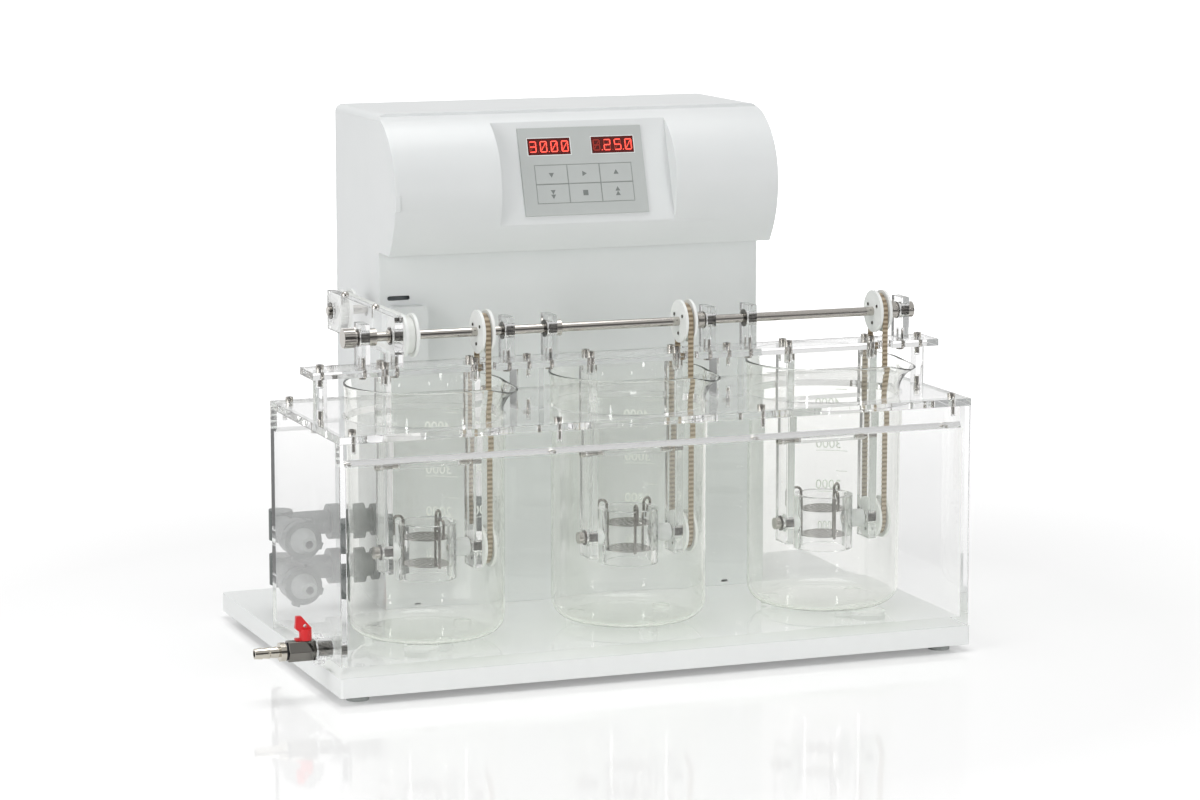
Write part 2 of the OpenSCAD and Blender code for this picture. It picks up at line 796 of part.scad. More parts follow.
// tower body grown inwards by t on every side
module tower_solid(t) {
    x0 = tower_l + t;
    x1 = tower_rx - t;
    intersection() {
        union() {
            span([x0, tower_y + t, base_top], [x1, tower_back_y - sheet, tower_top - t]);
            intersection() {
                rod_x(x0, x1, hood_front + hood_r, hood_cz, 2 * (hood_r - t));
                span([x0 - 1, hood_front, hood_cz], [x1 + 1, tower_back_y - sheet, tower_top]);
            }
            intersection() {
                rod_x(x0, x1, hood_front + low_r, hood_cz, 2 * (low_r - t));
                span([x0 - 1, hood_front, hood_low + t], [x1 + 1, tower_y + 20, hood_cz + e]);
            }
            // small pad on the hood's left edge
            if (t == 0) span([x0, hood_front - pad_out, hood_cz - pad_l], [x0 + 6, hood_front + 2, hood_cz]);
        }
        translate([tower_mid, tower_back_y + 1, base_top]) rotate([90, 0, 0]) linear_extrude(tower_back_y)
            union() {
                translate([-tower_w / 2 + t, -1]) square([tower_w - 2 * t, tower_h - edge_r + 1]);
                translate([-tower_w / 2 + edge_r, -1]) square([tower_w - 2 * edge_r, tower_h - t + 1]);
                for (s = [-1, 1])
                    translate([s * (tower_w / 2 - edge_r), tower_h - edge_r]) circle(edge_r - t);
            }
    }
}

// panel plane: its x runs along X, its y up the slope, its z out of the panel
module on_panel() {
    translate([tower_x, recess_y, recess_z]) rotate([90 - tilt, 0, 0]) children();
}

module recess(grow) {
    on_panel() translate([-recess_w / 2 - grow, -120, -grow]) cube([recess_w + 2 * grow, 240, 90]);
}

module tower_shell() {
    color("#E2E4E3") difference() {
        tower_solid(0);
        difference() {
            tower_solid(sheet);
            recess(sheet);
        }
        span([tower_l + sheet, tower_y + sheet, base_top - 1],
            [tower_rx - sheet, tower_back_y, base_top + 20]);
        span([tower_l + sheet, tower_back_y - 20, base_top - 1],
            [tower_rx - sheet, tower_back_y + 1, tower_top - edge_r]);
        recess(0);
        on_panel() translate([-pad_w / 2 + 6, -pad_h / 2 + 6, -20]) cube([pad_w - 12, pad_h - 12, 30]);
        for (z = bath_zs) rod_x(tower_l - 1, tower_l + sheet + 1, bath_y(), z, pipe_d);
        rod_x(tower_l - 1, tower_l + sheet + 1, motor_y, shaft_z, 16);
        // slot above the gearbox cover, and two at the foot
        front_slot(tower_l + 23, shaft_z + 14, 27, 5);
        for (x = [tower_l + foot_slot_in, tower_rx - foot_slot_in]) front_slot(x, base_top + 5.5, 8, 2.8);
    }
}

// round-ended slot of length l and height h in the tower's front
module front_slot(x, z, l, h) {
    for (s = [-1, 1]) rod_y(x + s * (l - h) / 2, tower_y - 1, tower_y + sheet + 1, z, h);
    span([x - (l - h) / 2, tower_y - 1, z - h / 2], [x + (l - h) / 2, tower_y + sheet + 1, z + h / 2]);
}

function bath_y() = tower_y + 38;

module tower_back() {
    color("#D6D8D7") difference() {
        translate([tower_mid, tower_back_y, base_top]) rotate([90, 0, 0]) linear_extrude(sheet) union() {
            translate([-tower_w / 2, 0]) square([tower_w, tower_h - edge_r]);
            translate([-tower_w / 2 + edge_r, 0]) square([tower_w - 2 * edge_r, tower_h]);
            for (s = [-1, 1]) translate([s * (tower_w / 2 - edge_r), tower_h - edge_r]) circle(edge_r);
        }
        span([back_cx - 14, tower_back_y - sheet - 1, inlet_z - 10],
            [back_cx + 14, tower_back_y + 1, inlet_z + 10]);
        span([back_cx + 24, tower_back_y - sheet - 1, inlet_z - 14],
            [back_cx + 44, tower_back_y + 1, inlet_z + 14]);
        for (i = [0 : 7])
            span([tower_rx - vent_in - vent_l, tower_back_y - sheet - 1, tower_top - 160 + i * 12],
                [tower_rx - vent_in, tower_back_y + 1, tower_top - 156 + i * 12]);
    }
}

module gearbox_cover() {
    color("#E6E8E7") translate([tower_l + 31, tower_y, shaft_z - 60]) rotate([90, 0, 0]) difference() {
        linear_extrude(16) dome_2d(0);
        translate([0, 0, -1]) linear_extrude(16 - 1) dome_2d(2);
    }
}

// outline of the gearbox cover, drawn in by t
module dome_2d(t) {
    translate([-21 + t, t]) square([42 - 2 * t, 60 - t]);
    translate([-15, t]) square([30, 66 - 2 * t]);
    for (s = [-1, 1]) translate([s * 15, 60]) circle(6 - t);
}

// keypad

module key_cut(i, gap, z0, z1) {
    c = (i - 1) % 3 - 1;
    r = floor((i - 1) / 3);
    translate([c * key_w - key_w / 2 - gap, key_y + (r == 0 ? 0 : -key_h) - gap, z0])
        cube([key_w + 2 * gap, key_h + 2 * gap, z1 - z0]);
}

module keypad_panel() {
    color("#B9BDBB") on_panel() difference() {
        translate([-pad_w / 2, -pad_h / 2, 0]) cube([pad_w, pad_h, plate_n]);
        for (s = [-1, 1]) translate([s * win_x - win_w / 2, win_y - win_h / 2, -1])
            cube([win_w, win_h, plate_n + 2]);
        for (i = [1 : 6]) key_cut(i, -key_gap, -1, plate_n + 1);
    }
}

module display_windows() {
    color("#5A1512") on_panel() for (s = [-1, 1])
        translate([s * win_x - win_w / 2, win_y - win_h / 2, 0]) cube([win_w, win_h, plate_n - 0.2]);
}

module key(i) {
    color("#BCC0BE") on_panel() key_cut(i, -key_gap - 0.25, plate_n - key_t, plate_n);
}

module key_1() { key(1); }
module key_2() { key(2); }
module key_3() { key(3); }
module key_4() { key(4); }
module key_5() { key(5); }
module key_6() { key(6); }

// board behind the keypad, with two display modules and six dome switches
module control_board() {
    color("#2F6B45") on_panel() {
        translate([-pad_w / 2 + 7, -pad_h / 2 + 7, -9]) cube([pad_w - 14, pad_h - 14, 1.6]);
        for (s = [-1, 1]) translate([s * win_x - win_w / 2 + 1, win_y - win_h / 2 + 1, -8])
            cube([win_w - 2, win_h - 2, 8]);
        for (i = [1 : 6]) translate([((i - 1) % 3 - 1) * key_w, key_y + key_h / 2 - (i > 3 ? key_h : 0), -8])
            cylinder(h = 8 + plate_n - key_t - key_go - 0.05, d = 12);
        for (x = [-1, 1]) for (y = [-1, 1])
            translate([x * (pad_w / 2 - 2), y * (pad_h / 2 - 12), -9]) {
                cylinder(h = 9 - sheet, d = 6);
                translate([x > 0 ? -8 : 0, -3, 0]) cube([8, 6, 1.6]);
            }
    }
}

// inside the tower

module gear_motor() {
    color("#7A7F82") difference() {
        union() {
            rod_x(tower_l + sheet, tower_l + sheet + gear_l, motor_y, shaft_z, motor_d);
            rod_x(tower_l + sheet + gear_l, tower_l + sheet + gear_l + motor_l, motor_y, shaft_z,
                motor_d - 3);
        }
        rod_x(tower_l + sheet - 1, tower_l + sheet + 14, motor_y, shaft_z, shaft_d + 2 * run);
    }
}

module power_supply() {
    x1 = tower_rx - supply_in;
    y0 = tower_y + sheet + supply_in;
    y1 = tower_back_y - sheet - supply_in;
    top = base_top + supply_h;
    color("#A9ADAF") {
        span([x1 - supply_l, y0, base_top], [x1, y1, top]);
        for (i = [1 : 5]) span([x1 - i * fin_p - fin_t, y0 + 6, top - 1], [x1 - i * fin_p, y1 - 6, top + 18]);
    }
}

// pump and heater of the bath, on the base plate inside the tower
module bath_pump() {
    color("#8D9294") difference() {
        union() {
            span([tower_l + sheet, bath_y() - 30, base_top],
                [tower_l + sheet + pump_l, bath_y() - 30 + pump_d, base_top + pump_h]);
            rod_z(tower_l + sheet + pump_l / 2, bath_y(), base_top + pump_h - 1,
                base_top + pump_h + heater_h, heater_d);
        }
        for (z = bath_zs) rod_x(tower_l + sheet - 1, tower_l + sheet + 20, bath_y(), z, pipe_d);
    }
}

// bath inlets

// grey pipe from the back of the bath round to the tower's side
module bath_pipe(z) {
    y0 = tank_in + tank_d;
    difference() {
        union() {
            rod_y(bath_x, y0, y0 + 16, z, 40);
            rod_y(bath_x, y0 + 15, bath_y(), z, pipe_d);
            rod_z(bath_x, bath_y(), z - 17, z + 17, elbow_d);
            rod_x(bath_x, tower_l + sheet + 20, bath_y(), z, pipe_d);
            rod_x(tower_l - 46, tower_l - 20, bath_y(), z, 40);
            rod_x(tower_l - 8, tower_l, bath_y(), z, 36);
        }
        rod_z(bath_x, bath_y(), z - 11, z + 11, elbow_d - 8);
        rod_y(bath_x, y0 - 1, bath_y() - 6, z, pipe_bore);
        rod_x(bath_x + 6, tower_l + sheet + 21, bath_y(), z, pipe_bore);
    }
}

module bath_pipes() {
    color("#B5B9B7") for (z = bath_zs) bath_pipe(z);
}

// bayonet coupling inside the bath, its neck passing through the wall
module coupling(z) {
    y1 = tank_in + tank_d - wall_t;
    difference() {
        union() {
            rod_y(bath_x, y1 - ring_l, y1, z, ring_d);
            rod_y(bath_x, y1 - 1, y1 + wall_t, z, neck_d);
            for (a = [20, 110, 200, 290]) translate([bath_x, y1 - ring_l + 2, z]) rotate([0, a, 0])
                translate([lug_r - 8, 0, -4]) cube([8, ring_l - 4, 8]);
            translate([bath_x, y1 - ring_l, z]) rotate([90, 0, 0])
                cylinder(h = nozzle_l, d1 = 29, d2 = 16);
        }
        rod_y(bath_x, y1 - ring_l - nozzle_l - 1, y1 + wall_t + 1, z, 9);
    }
}

module inlet_couplings() {
    color("#B5B9B7") for (z = bath_zs) coupling(z);
}

// drain

module drain_valve() {
    x0 = -tank_l / 2;
    ring_x = x0 - boss_l - body_l - seal_l;
    color("#C2BBAE") difference() {
        union() {
            // thread through the boss and the wall, six-sided body, ring and barbed hose tail
            rod_x(x0 - boss_l - 1, x0 + wall_t, drain_y, drain_z, drain_d);
            translate([x0 - boss_l - body_l, drain_y, drain_z]) rotate([0, 90, 0]) rotate(30)
                cylinder(h = body_l, d = body_flat / cos(30), $fn = 6);
            rod_x(ring_x - 1, ring_x + seal_l + 1, drain_y, drain_z, drain_d - 2);
            rod_x(ring_x - 6, ring_x, drain_y, drain_z, body_flat - 1);
            rod_x(x0 - valve_l, ring_x - 5, drain_y, drain_z, tail_d);
            for (i = [0 : 2]) translate([x0 - valve_l + 1 + i * 8, drain_y, drain_z]) rotate([0, 90, 0])
                cylinder(h = 7, d1 = tail_d, d2 = tail_d + 1.4);
            rod_z(lever_x, drain_y, drain_z, drain_z + body_flat / 2 + lever_h - 2, stem_d);
        }
        rod_x(x0 - valve_l - 1, x0 + wall_t + 1, drain_y, drain_z, tail_d - 4);
    }
}

// red handle with a flat blade, which stands along the flow while the valve is open
module valve_lever() {
    z0 = drain_z + body_flat / 2 + 0.3;
    half = lever_w / 2;
    color("#D8262B") difference() {
        union() {
            rod_z(lever_x, drain_y, z0, z0 + lever_h, lever_w);
            span([lever_x - half - 5, drain_y - 3, z0], [lever_x, drain_y + 3, z0 + 2.5]);
            translate([lever_x, drain_y + blade_t / 2, z0]) rotate([90, 0, 0]) linear_extrude(blade_t)
                polygon([[-half, 0], [half, 0], [half, blade_h / 2], [-half + 1.5, blade_h],
                    [-half - 4, blade_h], [-half - 5, blade_h / 2], [-half, blade_h / 3]]);
        }
        rod_z(lever_x, drain_y, z0 - 1, z0 + lever_h - 2 + run, stem_d + 2 * run);
        rod_y(lever_x - 0.8, drain_y - half, drain_y + half, z0 + 0.6 * blade_h, 4);
    }
}

// mains inlet and switch

module mains_inlet() {
    color("#2A2B2C") difference() {
        union() {
            span([back_cx - 25, tower_back_y, inlet_z - 16],
                [back_cx + 21, tower_back_y + 2.5, inlet_z + 16]);
            span([back_cx - 13.9, tower_back_y - 30, inlet_z - 9.9],
                [back_cx + 13.9, tower_back_y + 1, inlet_z + 9.9]);
            span([back_cx + 22, tower_back_y, inlet_z - 16], [back_cx + 46, tower_back_y + 2, inlet_z + 16]);
            span([back_cx + 24.1, tower_back_y - 24, inlet_z - 13.9],
                [back_cx + 43.9, tower_back_y + 1, inlet_z + 13.9]);
            span([back_cx + 20, tower_back_y, inlet_z - 16], [back_cx + 23, tower_back_y + 2, inlet_z + 16]);
        }
        span([back_cx - 11, tower_back_y - 16, inlet_z - 7], [back_cx + 11, tower_back_y + 4, inlet_z + 7]);
        rod_x(back_cx + 26, back_cx + 42, tower_back_y - 8, inlet_z, 24);
    }
    color("#C9C6BF") for (q = [[-6, -2], [0, 2], [6, -2]])
        span([back_cx + q[0] - 1, tower_back_y - 17, inlet_z + q[1] - 2],
            [back_cx + q[0] + 1, tower_back_y - 4, inlet_z + q[1] + 2]);
}

// rocker turning inside its round pocket, tilted to off
module power_rocker() {
    color("#202122") translate([back_cx + 34, tower_back_y - 8, inlet_z]) rotate([-10, 0, 0]) difference() {
        rod_x(-7.7, 7.7, 0, 0, 23.8);
        for (s = [-1, 1]) translate([-10, 9.4, 0]) rotate([s * 10, 0, 0])
            translate([0, 0, -20]) cube([20, 12, 40]);
    }
}

place() base_plate();
place() base_feet();
place() tank_floor();
place() tank_long_walls();
place() tank_end_walls();
place() cover_rails();
place() cover_plate();
place() clear_work_screws();
place() beaker_1();
place() beaker_2();
place() beaker_3();
place() bridge_plate();
place() bridge_supports();
place() shaft_uprights();
place() bushings();
place() drive_plate();
place() hangers();
place() hanger_ties();
place() cell_belts();
place() drive_belt();
place() tower_shell();
place() tower_back();
place() gearbox_cover();
place() keypad_panel();
place() display_windows();
place() gear_motor();
place() control_board();
place() power_supply();
place() bath_pump();
place() bath_pipes();
place() inlet_couplings();
place() drain_valve();
place() mains_inlet();
place() drive_shaft();
place() shaft_knob();
place() shaft_collars();
place() drive_pulley();
place() shaft_pulleys();
place() motor_pulley();
place() motor_shaft();
place() sleeve_1();
place() sleeve_2();
place() sleeve_3();
place() trunnion_1();
place() trunnion_2();
place() trunnion_3();
place() cell_pulley_1();
place() cell_pulley_2();
place() cell_pulley_3();
place() cage_1();
place() cage_2();
place() cage_3();
place() valve_lever();
place() power_rocker();
place() key_1();
place() key_2();
place() key_3();
place() key_4();
place() key_5();
place() key_6();
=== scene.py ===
import json
import math

import bmesh
import bpy
import numpy as np
from mathutils import Matrix, Vector


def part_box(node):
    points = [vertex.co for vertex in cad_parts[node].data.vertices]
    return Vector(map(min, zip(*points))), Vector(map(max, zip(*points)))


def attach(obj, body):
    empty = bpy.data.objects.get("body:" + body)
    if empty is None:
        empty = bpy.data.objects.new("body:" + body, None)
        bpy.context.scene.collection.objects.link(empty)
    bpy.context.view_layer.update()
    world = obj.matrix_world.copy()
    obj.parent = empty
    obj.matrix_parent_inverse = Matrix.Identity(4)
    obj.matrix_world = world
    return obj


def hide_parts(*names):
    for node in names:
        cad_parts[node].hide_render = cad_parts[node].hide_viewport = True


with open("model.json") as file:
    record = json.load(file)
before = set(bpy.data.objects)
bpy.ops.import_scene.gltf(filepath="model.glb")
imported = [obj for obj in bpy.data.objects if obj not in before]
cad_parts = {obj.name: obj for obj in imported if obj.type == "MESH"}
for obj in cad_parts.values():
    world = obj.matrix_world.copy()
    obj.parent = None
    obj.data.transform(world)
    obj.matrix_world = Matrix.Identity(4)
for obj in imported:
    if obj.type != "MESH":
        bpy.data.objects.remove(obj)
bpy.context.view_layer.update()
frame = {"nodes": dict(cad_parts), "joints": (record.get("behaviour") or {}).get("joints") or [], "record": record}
scene = bpy.context.scene

# Sizes of pieces are in millimetres and turned to metres by MM, because the frame is in metres.
# The camera, the lamps and the studio are laid out in metres.
MM = 0.001

# Camera: stands left of the bath's middle, higher than the tower, and looks down at the bath.
CAMERA_AT = Vector((-1.4158, -3.8543, 0.9206))
CAMERA_YAW = math.radians(20.876)
CAMERA_PITCH = math.radians(9.0)
CAMERA_LENS = 111.5
CAMERA_SENSOR = 36

CELLS = (1, 2, 3)
joints = {joint["name"]: joint for joint in frame["joints"]}
stations = {k: Vector(joints[f"cell_{k}_spin"]["pos_m"]) for k in CELLS}
shaft_at = Vector(joints["shaft_spin"]["pos_m"])


def place_camera():
    data = bpy.data.cameras.new("camera")
    data.sensor_width = CAMERA_SENSOR
    data.lens = CAMERA_LENS
    camera = bpy.data.objects.new("camera", data)
    camera.location = CAMERA_AT
    camera.rotation_euler = (math.pi / 2 - CAMERA_PITCH, 0, -CAMERA_YAW)
    scene.collection.objects.link(camera)
    scene.camera = camera


place_camera()


# Materials

# Length of a grinding line on metal
GRIND_LENGTH = 6
# A wave texture at scale 1 draws a band every this many units.
WAVE_BAND = math.pi / 10


def linear(hex_colour):
    """An sRGB hex colour as linear red, green, blue and a full alpha."""
    parts = [int(hex_colour[i:i + 2], 16) / 255 for i in (1, 3, 5)]
    return [c / 12.92 if c <= 0.04045 else ((c + 0.055) / 1.055) ** 2.4 for c in parts] + [1.0]


def add(tree, kind, inputs=(), **settings):
    """Adds a node, gives it its settings, and sets or links its inputs by name or number."""
    node = tree.nodes.new(kind)
    for name, value in settings.items():
        setattr(node, name, value)
    for name, value in dict(inputs).items():
        if isinstance(value, bpy.types.NodeSocket):
            tree.links.new(value, node.inputs[name])
        else:
            node.inputs[name].default_value = value
    return node


def surface(name, **sockets):
    """A material with one Principled shader; underscores in a socket's name stand for spaces."""
    material = bpy.data.materials.new(name)
    material.use_nodes = True
    tree = material.node_tree
    tree.nodes.clear()
    values = {key.replace("_", " "): value for key, value in sockets.items()}
    shader = add(tree, "ShaderNodeBsdfPrincipled", values)
    add(tree, "ShaderNodeOutputMaterial", {"Surface": shader.outputs[0]})
    return material, tree, shader


def show(tree, result, socket="Surface"):
    """Links a result to the material's output, in place of what was there."""
    output = next(node for node in tree.nodes if node.type == "OUTPUT_MATERIAL")
    tree.links.new(result, output.inputs[socket])


def per_mm(size):
    """Texture scale at which one noise cell is about this many millimetres wide."""
    return 1 / (size * MM)


def painted_steel():
    """Powder-coated sheet steel: smooth gloss white with the faint orange peel of a baked coat."""
    material, tree, shader = surface("powder_coated_steel", Roughness=0.3, IOR=1.5)
    where = add(tree, "ShaderNodeTexCoord").outputs["Object"]
    cloud = add(tree, "ShaderNodeTexNoise", {"Vector": where, "Scale": per_mm(70), "Detail": 3.0})
    tones = {"Factor": cloud.outputs["Fac"], "A": linear("#DFE2E2"), "B": linear("#E6E8E8")}
    tone = add(tree, "ShaderNodeMix", tones, data_type="RGBA")
    peel = add(tree, "ShaderNodeTexNoise", {"Vector": where, "Scale": per_mm(2.2), "Detail": 2.0})
    relief = {"Height": peel.outputs["Fac"], "Strength": 0.035, "Distance": 0.2 * MM}
    bump = add(tree, "ShaderNodeBump", relief)
    tree.links.new(tone.outputs["Result"], shader.inputs["Base Color"])
    tree.links.new(bump.outputs["Normal"], shader.inputs["Normal"])
    return material


def clear_solid(name, ior, shade):
    """A clear solid that bends what is seen through it, and lets the lamps' light straight through."""
    material, tree, shader = surface(name, Base_Color=linear("#FFFFFF"), Roughness=0.0, IOR=ior,
                                     Transmission_Weight=1.0)
    rays = add(tree, "ShaderNodeLightPath").outputs
    passing = add(tree, "ShaderNodeBsdfTransparent", {"Color": linear(shade)}).outputs[0]
    clear = shader.outputs[0]
    for kind in ("Is Shadow Ray", "Is Diffuse Ray"):
        clear = add(tree, "ShaderNodeMixShader", {0: rays[kind], 1: clear, 2: passing}).outputs[0]
    show(tree, clear)
    return material


def beaker_glass():
    """Borosilicate glass: colourless through the wall, olive green where the eye looks along it."""
    material = clear_solid("borosilicate_glass", 1.474, "#FEFFFE")
    tree = material.node_tree
    depth = add(tree, "ShaderNodeVolumeAbsorption", {"Color": linear("#CFDC94"), "Density": 11.0})
    show(tree, depth.outputs[0], "Volume")
    return material


def ground_metal(name, colour, roughness, line):
    """Ground or turned metal: fine grinding lines break up a bright reflection."""
    material, tree, shader = surface(name, Base_Color=linear(colour), Metallic=1.0)
    where = add(tree, "ShaderNodeTexCoord").outputs["Object"]
    grid = (per_mm(line), per_mm(GRIND_LENGTH), per_mm(GRIND_LENGTH))
    fine = add(tree, "ShaderNodeMapping", {"Vector": where, "Scale": grid})
    lines = add(tree, "ShaderNodeTexNoise", {"Vector": fine.outputs[0], "Scale": 1.0, "Detail": 3.0})
    depth = lines.outputs["Fac"]
    spread = add(tree, "ShaderNodeMapRange", {"Value": depth, "To Min": roughness * 0.7,
                                              "To Max": roughness * 1.3})
    bump = add(tree, "ShaderNodeBump", {"Height": depth, "Strength": 0.08, "Distance": 0.05 * MM})
    tree.links.new(spread.outputs["Result"], shader.inputs["Roughness"])
    tree.links.new(bump.outputs["Normal"], shader.inputs["Normal"])
    return material


def moulded(name, colour, other, roughness, grain, depth):
    """Moulded plastic or rubber: slight flow marks in the colour and a fine mould grain."""
    material, tree, shader = surface(name, Roughness=roughness, IOR=1.5)
    where = add(tree, "ShaderNodeTexCoord").outputs["Object"]
    flow = add(tree, "ShaderNodeTexNoise", {"Vector": where, "Scale": per_mm(18), "Detail": 4.0})
    tones = {"Factor": flow.outputs["Fac"], "A": linear(colour), "B": linear(other)}
    tone = add(tree, "ShaderNodeMix", tones, data_type="RGBA")
    fine = add(tree, "ShaderNodeTexNoise", {"Vector": where, "Scale": per_mm(grain), "Detail": 2.0})
    relief = {"Height": fine.outputs["Fac"], "Strength": depth, "Distance": 0.1 * MM}
    bump = add(tree, "ShaderNodeBump", relief)
    tree.links.new(tone.outputs["Result"], shader.inputs["Base Color"])
    tree.links.new(bump.outputs["Normal"], shader.inputs["Normal"])
    return material


def toothed_rubber(name, colour, tooth, pitch):
    """Belt of clear beige polyurethane, through which each tooth shows as a darker bar."""
    material, tree, shader = surface(name, Roughness=0.5, IOR=1.5)
    where = add(tree, "ShaderNodeTexCoord").outputs["Object"]
    spacing = {"Vector": where, "Scale": WAVE_BAND / (pitch * MM), "Distortion": 0.0}
    bars = add(tree, "ShaderNodeTexWave", spacing, bands_direction="Z").outputs["Fac"]
    tones = {"Factor": bars, "A": linear(colour), "B": linear(tooth)}
    tone = add(tree, "ShaderNodeMix", tones, data_type="RGBA")
    bump = add(tree, "ShaderNodeBump", {"Height": bars, "Strength": 0.3, "Distance": 0.3 * MM})
    tree.links.new(tone.outputs["Result"], shader.inputs["Base Color"])
    tree.links.new(bump.outputs["Normal"], shader.inputs["Normal"])
    return material


def glowing(name, colour, light, strength):
    """A display segment behind tinted plastic: red plastic that gives its own light, a real glow on a lit segment
    and a painted glow on an unlit one.
    """
    return surface(name, Base_Color=linear(colour), Roughness=0.4, Emission_Color=linear(light),
                   Emission_Strength=strength)[0]


# Finishes by the record's material slots
finishes = {
    "white_paint": painted_steel(),
    "white_board": moulded("white_pvc_board", "#F1F3F2", "#F5F7F6", 0.34, 1.6, 0.05),
    "rubber_feet": moulded("grey_rubber", "#A5A9A7", "#AEB2B0", 0.7, 0.9, 0.3),
    "clear_acrylic": clear_solid("polished_acrylic", 1.49, "#FFFFFF"),
    "beaker_glass": beaker_glass(),
    "stainless_steel": ground_metal("ground_stainless_steel", "#C4C0BA", 0.16, 0.35),
    "bush_steel": ground_metal("dark_bearing_steel", "#6A6763", 0.12, 0.35),
    "belt_rubber": toothed_rubber("beige_polyurethane", "#B9AA93", "#7A6A53", 5.0),
    "white_belt": moulded("white_polyurethane", "#E2E4E0", "#EAECE8", 0.5, 0.6, 0.2),
    "white_plastic": moulded("white_acetal", "#E9EBE9", "#F0F1EF", 0.38, 1.2, 0.06),
    "keypad_foil": moulded("satin_polyester_foil", "#BABEBC", "#C1C5C3", 0.42, 0.45, 0.12),
    "display_window": moulded("red_tinted_acrylic", "#520C07", "#5E1009", 0.12, 3.0, 0.01),
    "motor_metal": moulded("grey_cast_housing", "#7C8184", "#888D90", 0.5, 0.8, 0.2),
    "circuit_board": moulded("green_glass_fibre_board", "#24553A", "#2C6244", 0.4, 0.7, 0.1),
    "grey_pvc": moulded("grey_moulded_pvc", "#616664", "#6B706E", 0.42, 0.8, 0.1),
    "nickel_brass": ground_metal("nickel_plated_brass", "#C6C1B6", 0.08, 0.5),
    "red_plastic": moulded("red_moulded_nylon", "#D61F26", "#E0282C", 0.32, 0.7, 0.08),
    "black_plastic": moulded("black_moulded_nylon", "#17181A", "#212224", 0.45, 0.5, 0.15),
}

# Finishes of single surfaces
lit_segment = glowing("lit_display_segment", "#FF5A4C", "#FF4A3C", 1.6)
# Painted glow: unlit segments get a faint light of their own, though an unlit segment gives none.
unlit_segment_glow = glowing("unlit_segment_painted_glow", "#8A2416", "#A82A18", 0.35)
key_print = moulded("grey_screen_print", "#787D7B", "#808583", 0.5, 0.5, 0.05)
line_print = moulded("dark_screen_print", "#939896", "#9BA09E", 0.5, 0.5, 0.05)
white_print = moulded("white_screen_print", "#EDEFEE", "#F2F3F2", 0.5, 0.5, 0.05)
scale_print = moulded("white_fired_enamel", "#FBFCFB", "#FFFFFF", 0.6, 0.5, 0.05)
# Painted shade: the cages' wire gets a darker colour than the other stainless steel. It stands in for the darker
# room that the wire mirrors through the glass.
cage_steel_painted_shade = ground_metal("stainless_wire_painted_shade", "#A8A5A0", 0.12, 0.3)
# Painted shade: the valve body's chrome gets a dark colour, which stands in for the dark room that bright chrome
# mirrors.
valve_chrome_painted_dark = ground_metal("chrome_painted_dark", "#7C7A75", 0.06, 0.5)
nozzle_pvc = moulded("pale_moulded_pvc", "#8E9290", "#979B99", 0.42, 0.8, 0.1)
turned_acrylic = surface("turned_acrylic", Base_Color=linear("#F4F6F5"), Roughness=0.5, IOR=1.49,
                         Transmission_Weight=0.35)[0]

slot_of = {part["node"]: part["material_slot"] for part in frame["record"]["subparts"]}
# Each piece takes its slot's finish, except the cages, which take the steel darkened as painted shade.
for name, node in frame["nodes"].items():
    node.data.materials.clear()
    node.data.materials.append(cage_steel_painted_shade if name.startswith("cage") else finishes[slot_of[name]])


# Pieces

body_of = {node: body for body, nodes in frame["record"]["behaviour"]["bodies"].items() for node in nodes}


def piece(name, form, body, slot, materials=None, replaced=(), crease=35):
    """Finishes a mesh as a piece that rides on a body: smooth where it curves, sharp at its edges."""
    mesh = bpy.data.meshes.new(name)
    form.to_mesh(mesh)
    form.free()
    for material in materials or [finishes[slot]]:
        mesh.materials.append(material)
    mesh.shade_smooth()
    mesh.set_sharp_from_angle(angle=math.radians(crease))
    made = bpy.data.objects.new(name, mesh)
    scene.collection.objects.link(made)
    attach(made, body)
    if replaced:
        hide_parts(*replaced)
    return made


def corners(node):
    """Lowest and highest corner of a CAD piece."""
    low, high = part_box(node)
    return Vector(low), Vector(high)


# Polished and painted edges

# Corners of a piece's loose triangles meet within WELD, those of joined boards within JOIN_WELD,
# and those where a spun shape closes within SPIN_WELD.
WELD = 0.002
JOIN_WELD = 0.02
SPIN_WELD = 0.001
# Faces that bend less than this are one flat face.
FLAT_ANGLE = math.radians(0.5)
# Edges that are longer than this and bend more than this are rounded over.
LONG_EDGE = 4
EDGE_ANGLE = math.radians(40)
# Radius of the rounding on clear boards, on painted or moulded pieces, and on small turned ones
CLEAR_ROUND = 0.5
PAINT_ROUND = 0.6
TURNED_ROUND = 0.4
# Corners this near to a plane lie on it.
NEAR_PLANE = 0.1
# Faces too small to have a direction of their own, in square metres
SLIVER = 1e-10
# Share of the strongest direction below which faces at a corner count as parallel
PARALLEL = 0.1
# Clear pieces that are only screwed on keep a hair of air between them.
AIR = 0.04
BATH_BOARDS = ["tank_floor", "tank_long_walls", "tank_end_walls", "cover_rails"]
SHEET_PIECES = ["tower_shell", "gearbox_cover", "base_plate"]
# How far inside the sleeve's wall its turned bosses start
BOSS_ROOT = 0.5
# Length of a coupling's pale nozzle
NOZZLE = 23.5


def merged(node):
    """A closed copy of a CAD piece, whose own mesh is loose triangles."""
    form = bmesh.new()
    form.from_mesh(frame["nodes"][node].data)
    bmesh.ops.remove_doubles(form, verts=form.verts, dist=WELD * MM)
    return form


def draw_in(form, depth):
    """Moves every face inwards by this many millimetres, and keeps the flat ones flat."""
    form.normal_update()
    moves = []
    for vert in form.verts:
        normals = [face.normal for face in vert.link_faces if face.calc_area() > SLIVER]
        normals = np.array(normals or [vert.normal])
        depths = np.full(len(normals), -depth * MM)
        moves.append(np.linalg.lstsq(normals, depths, rcond=PARALLEL)[0])
    for vert, move in zip(form.verts, moves):
        vert.co += Vector(move)


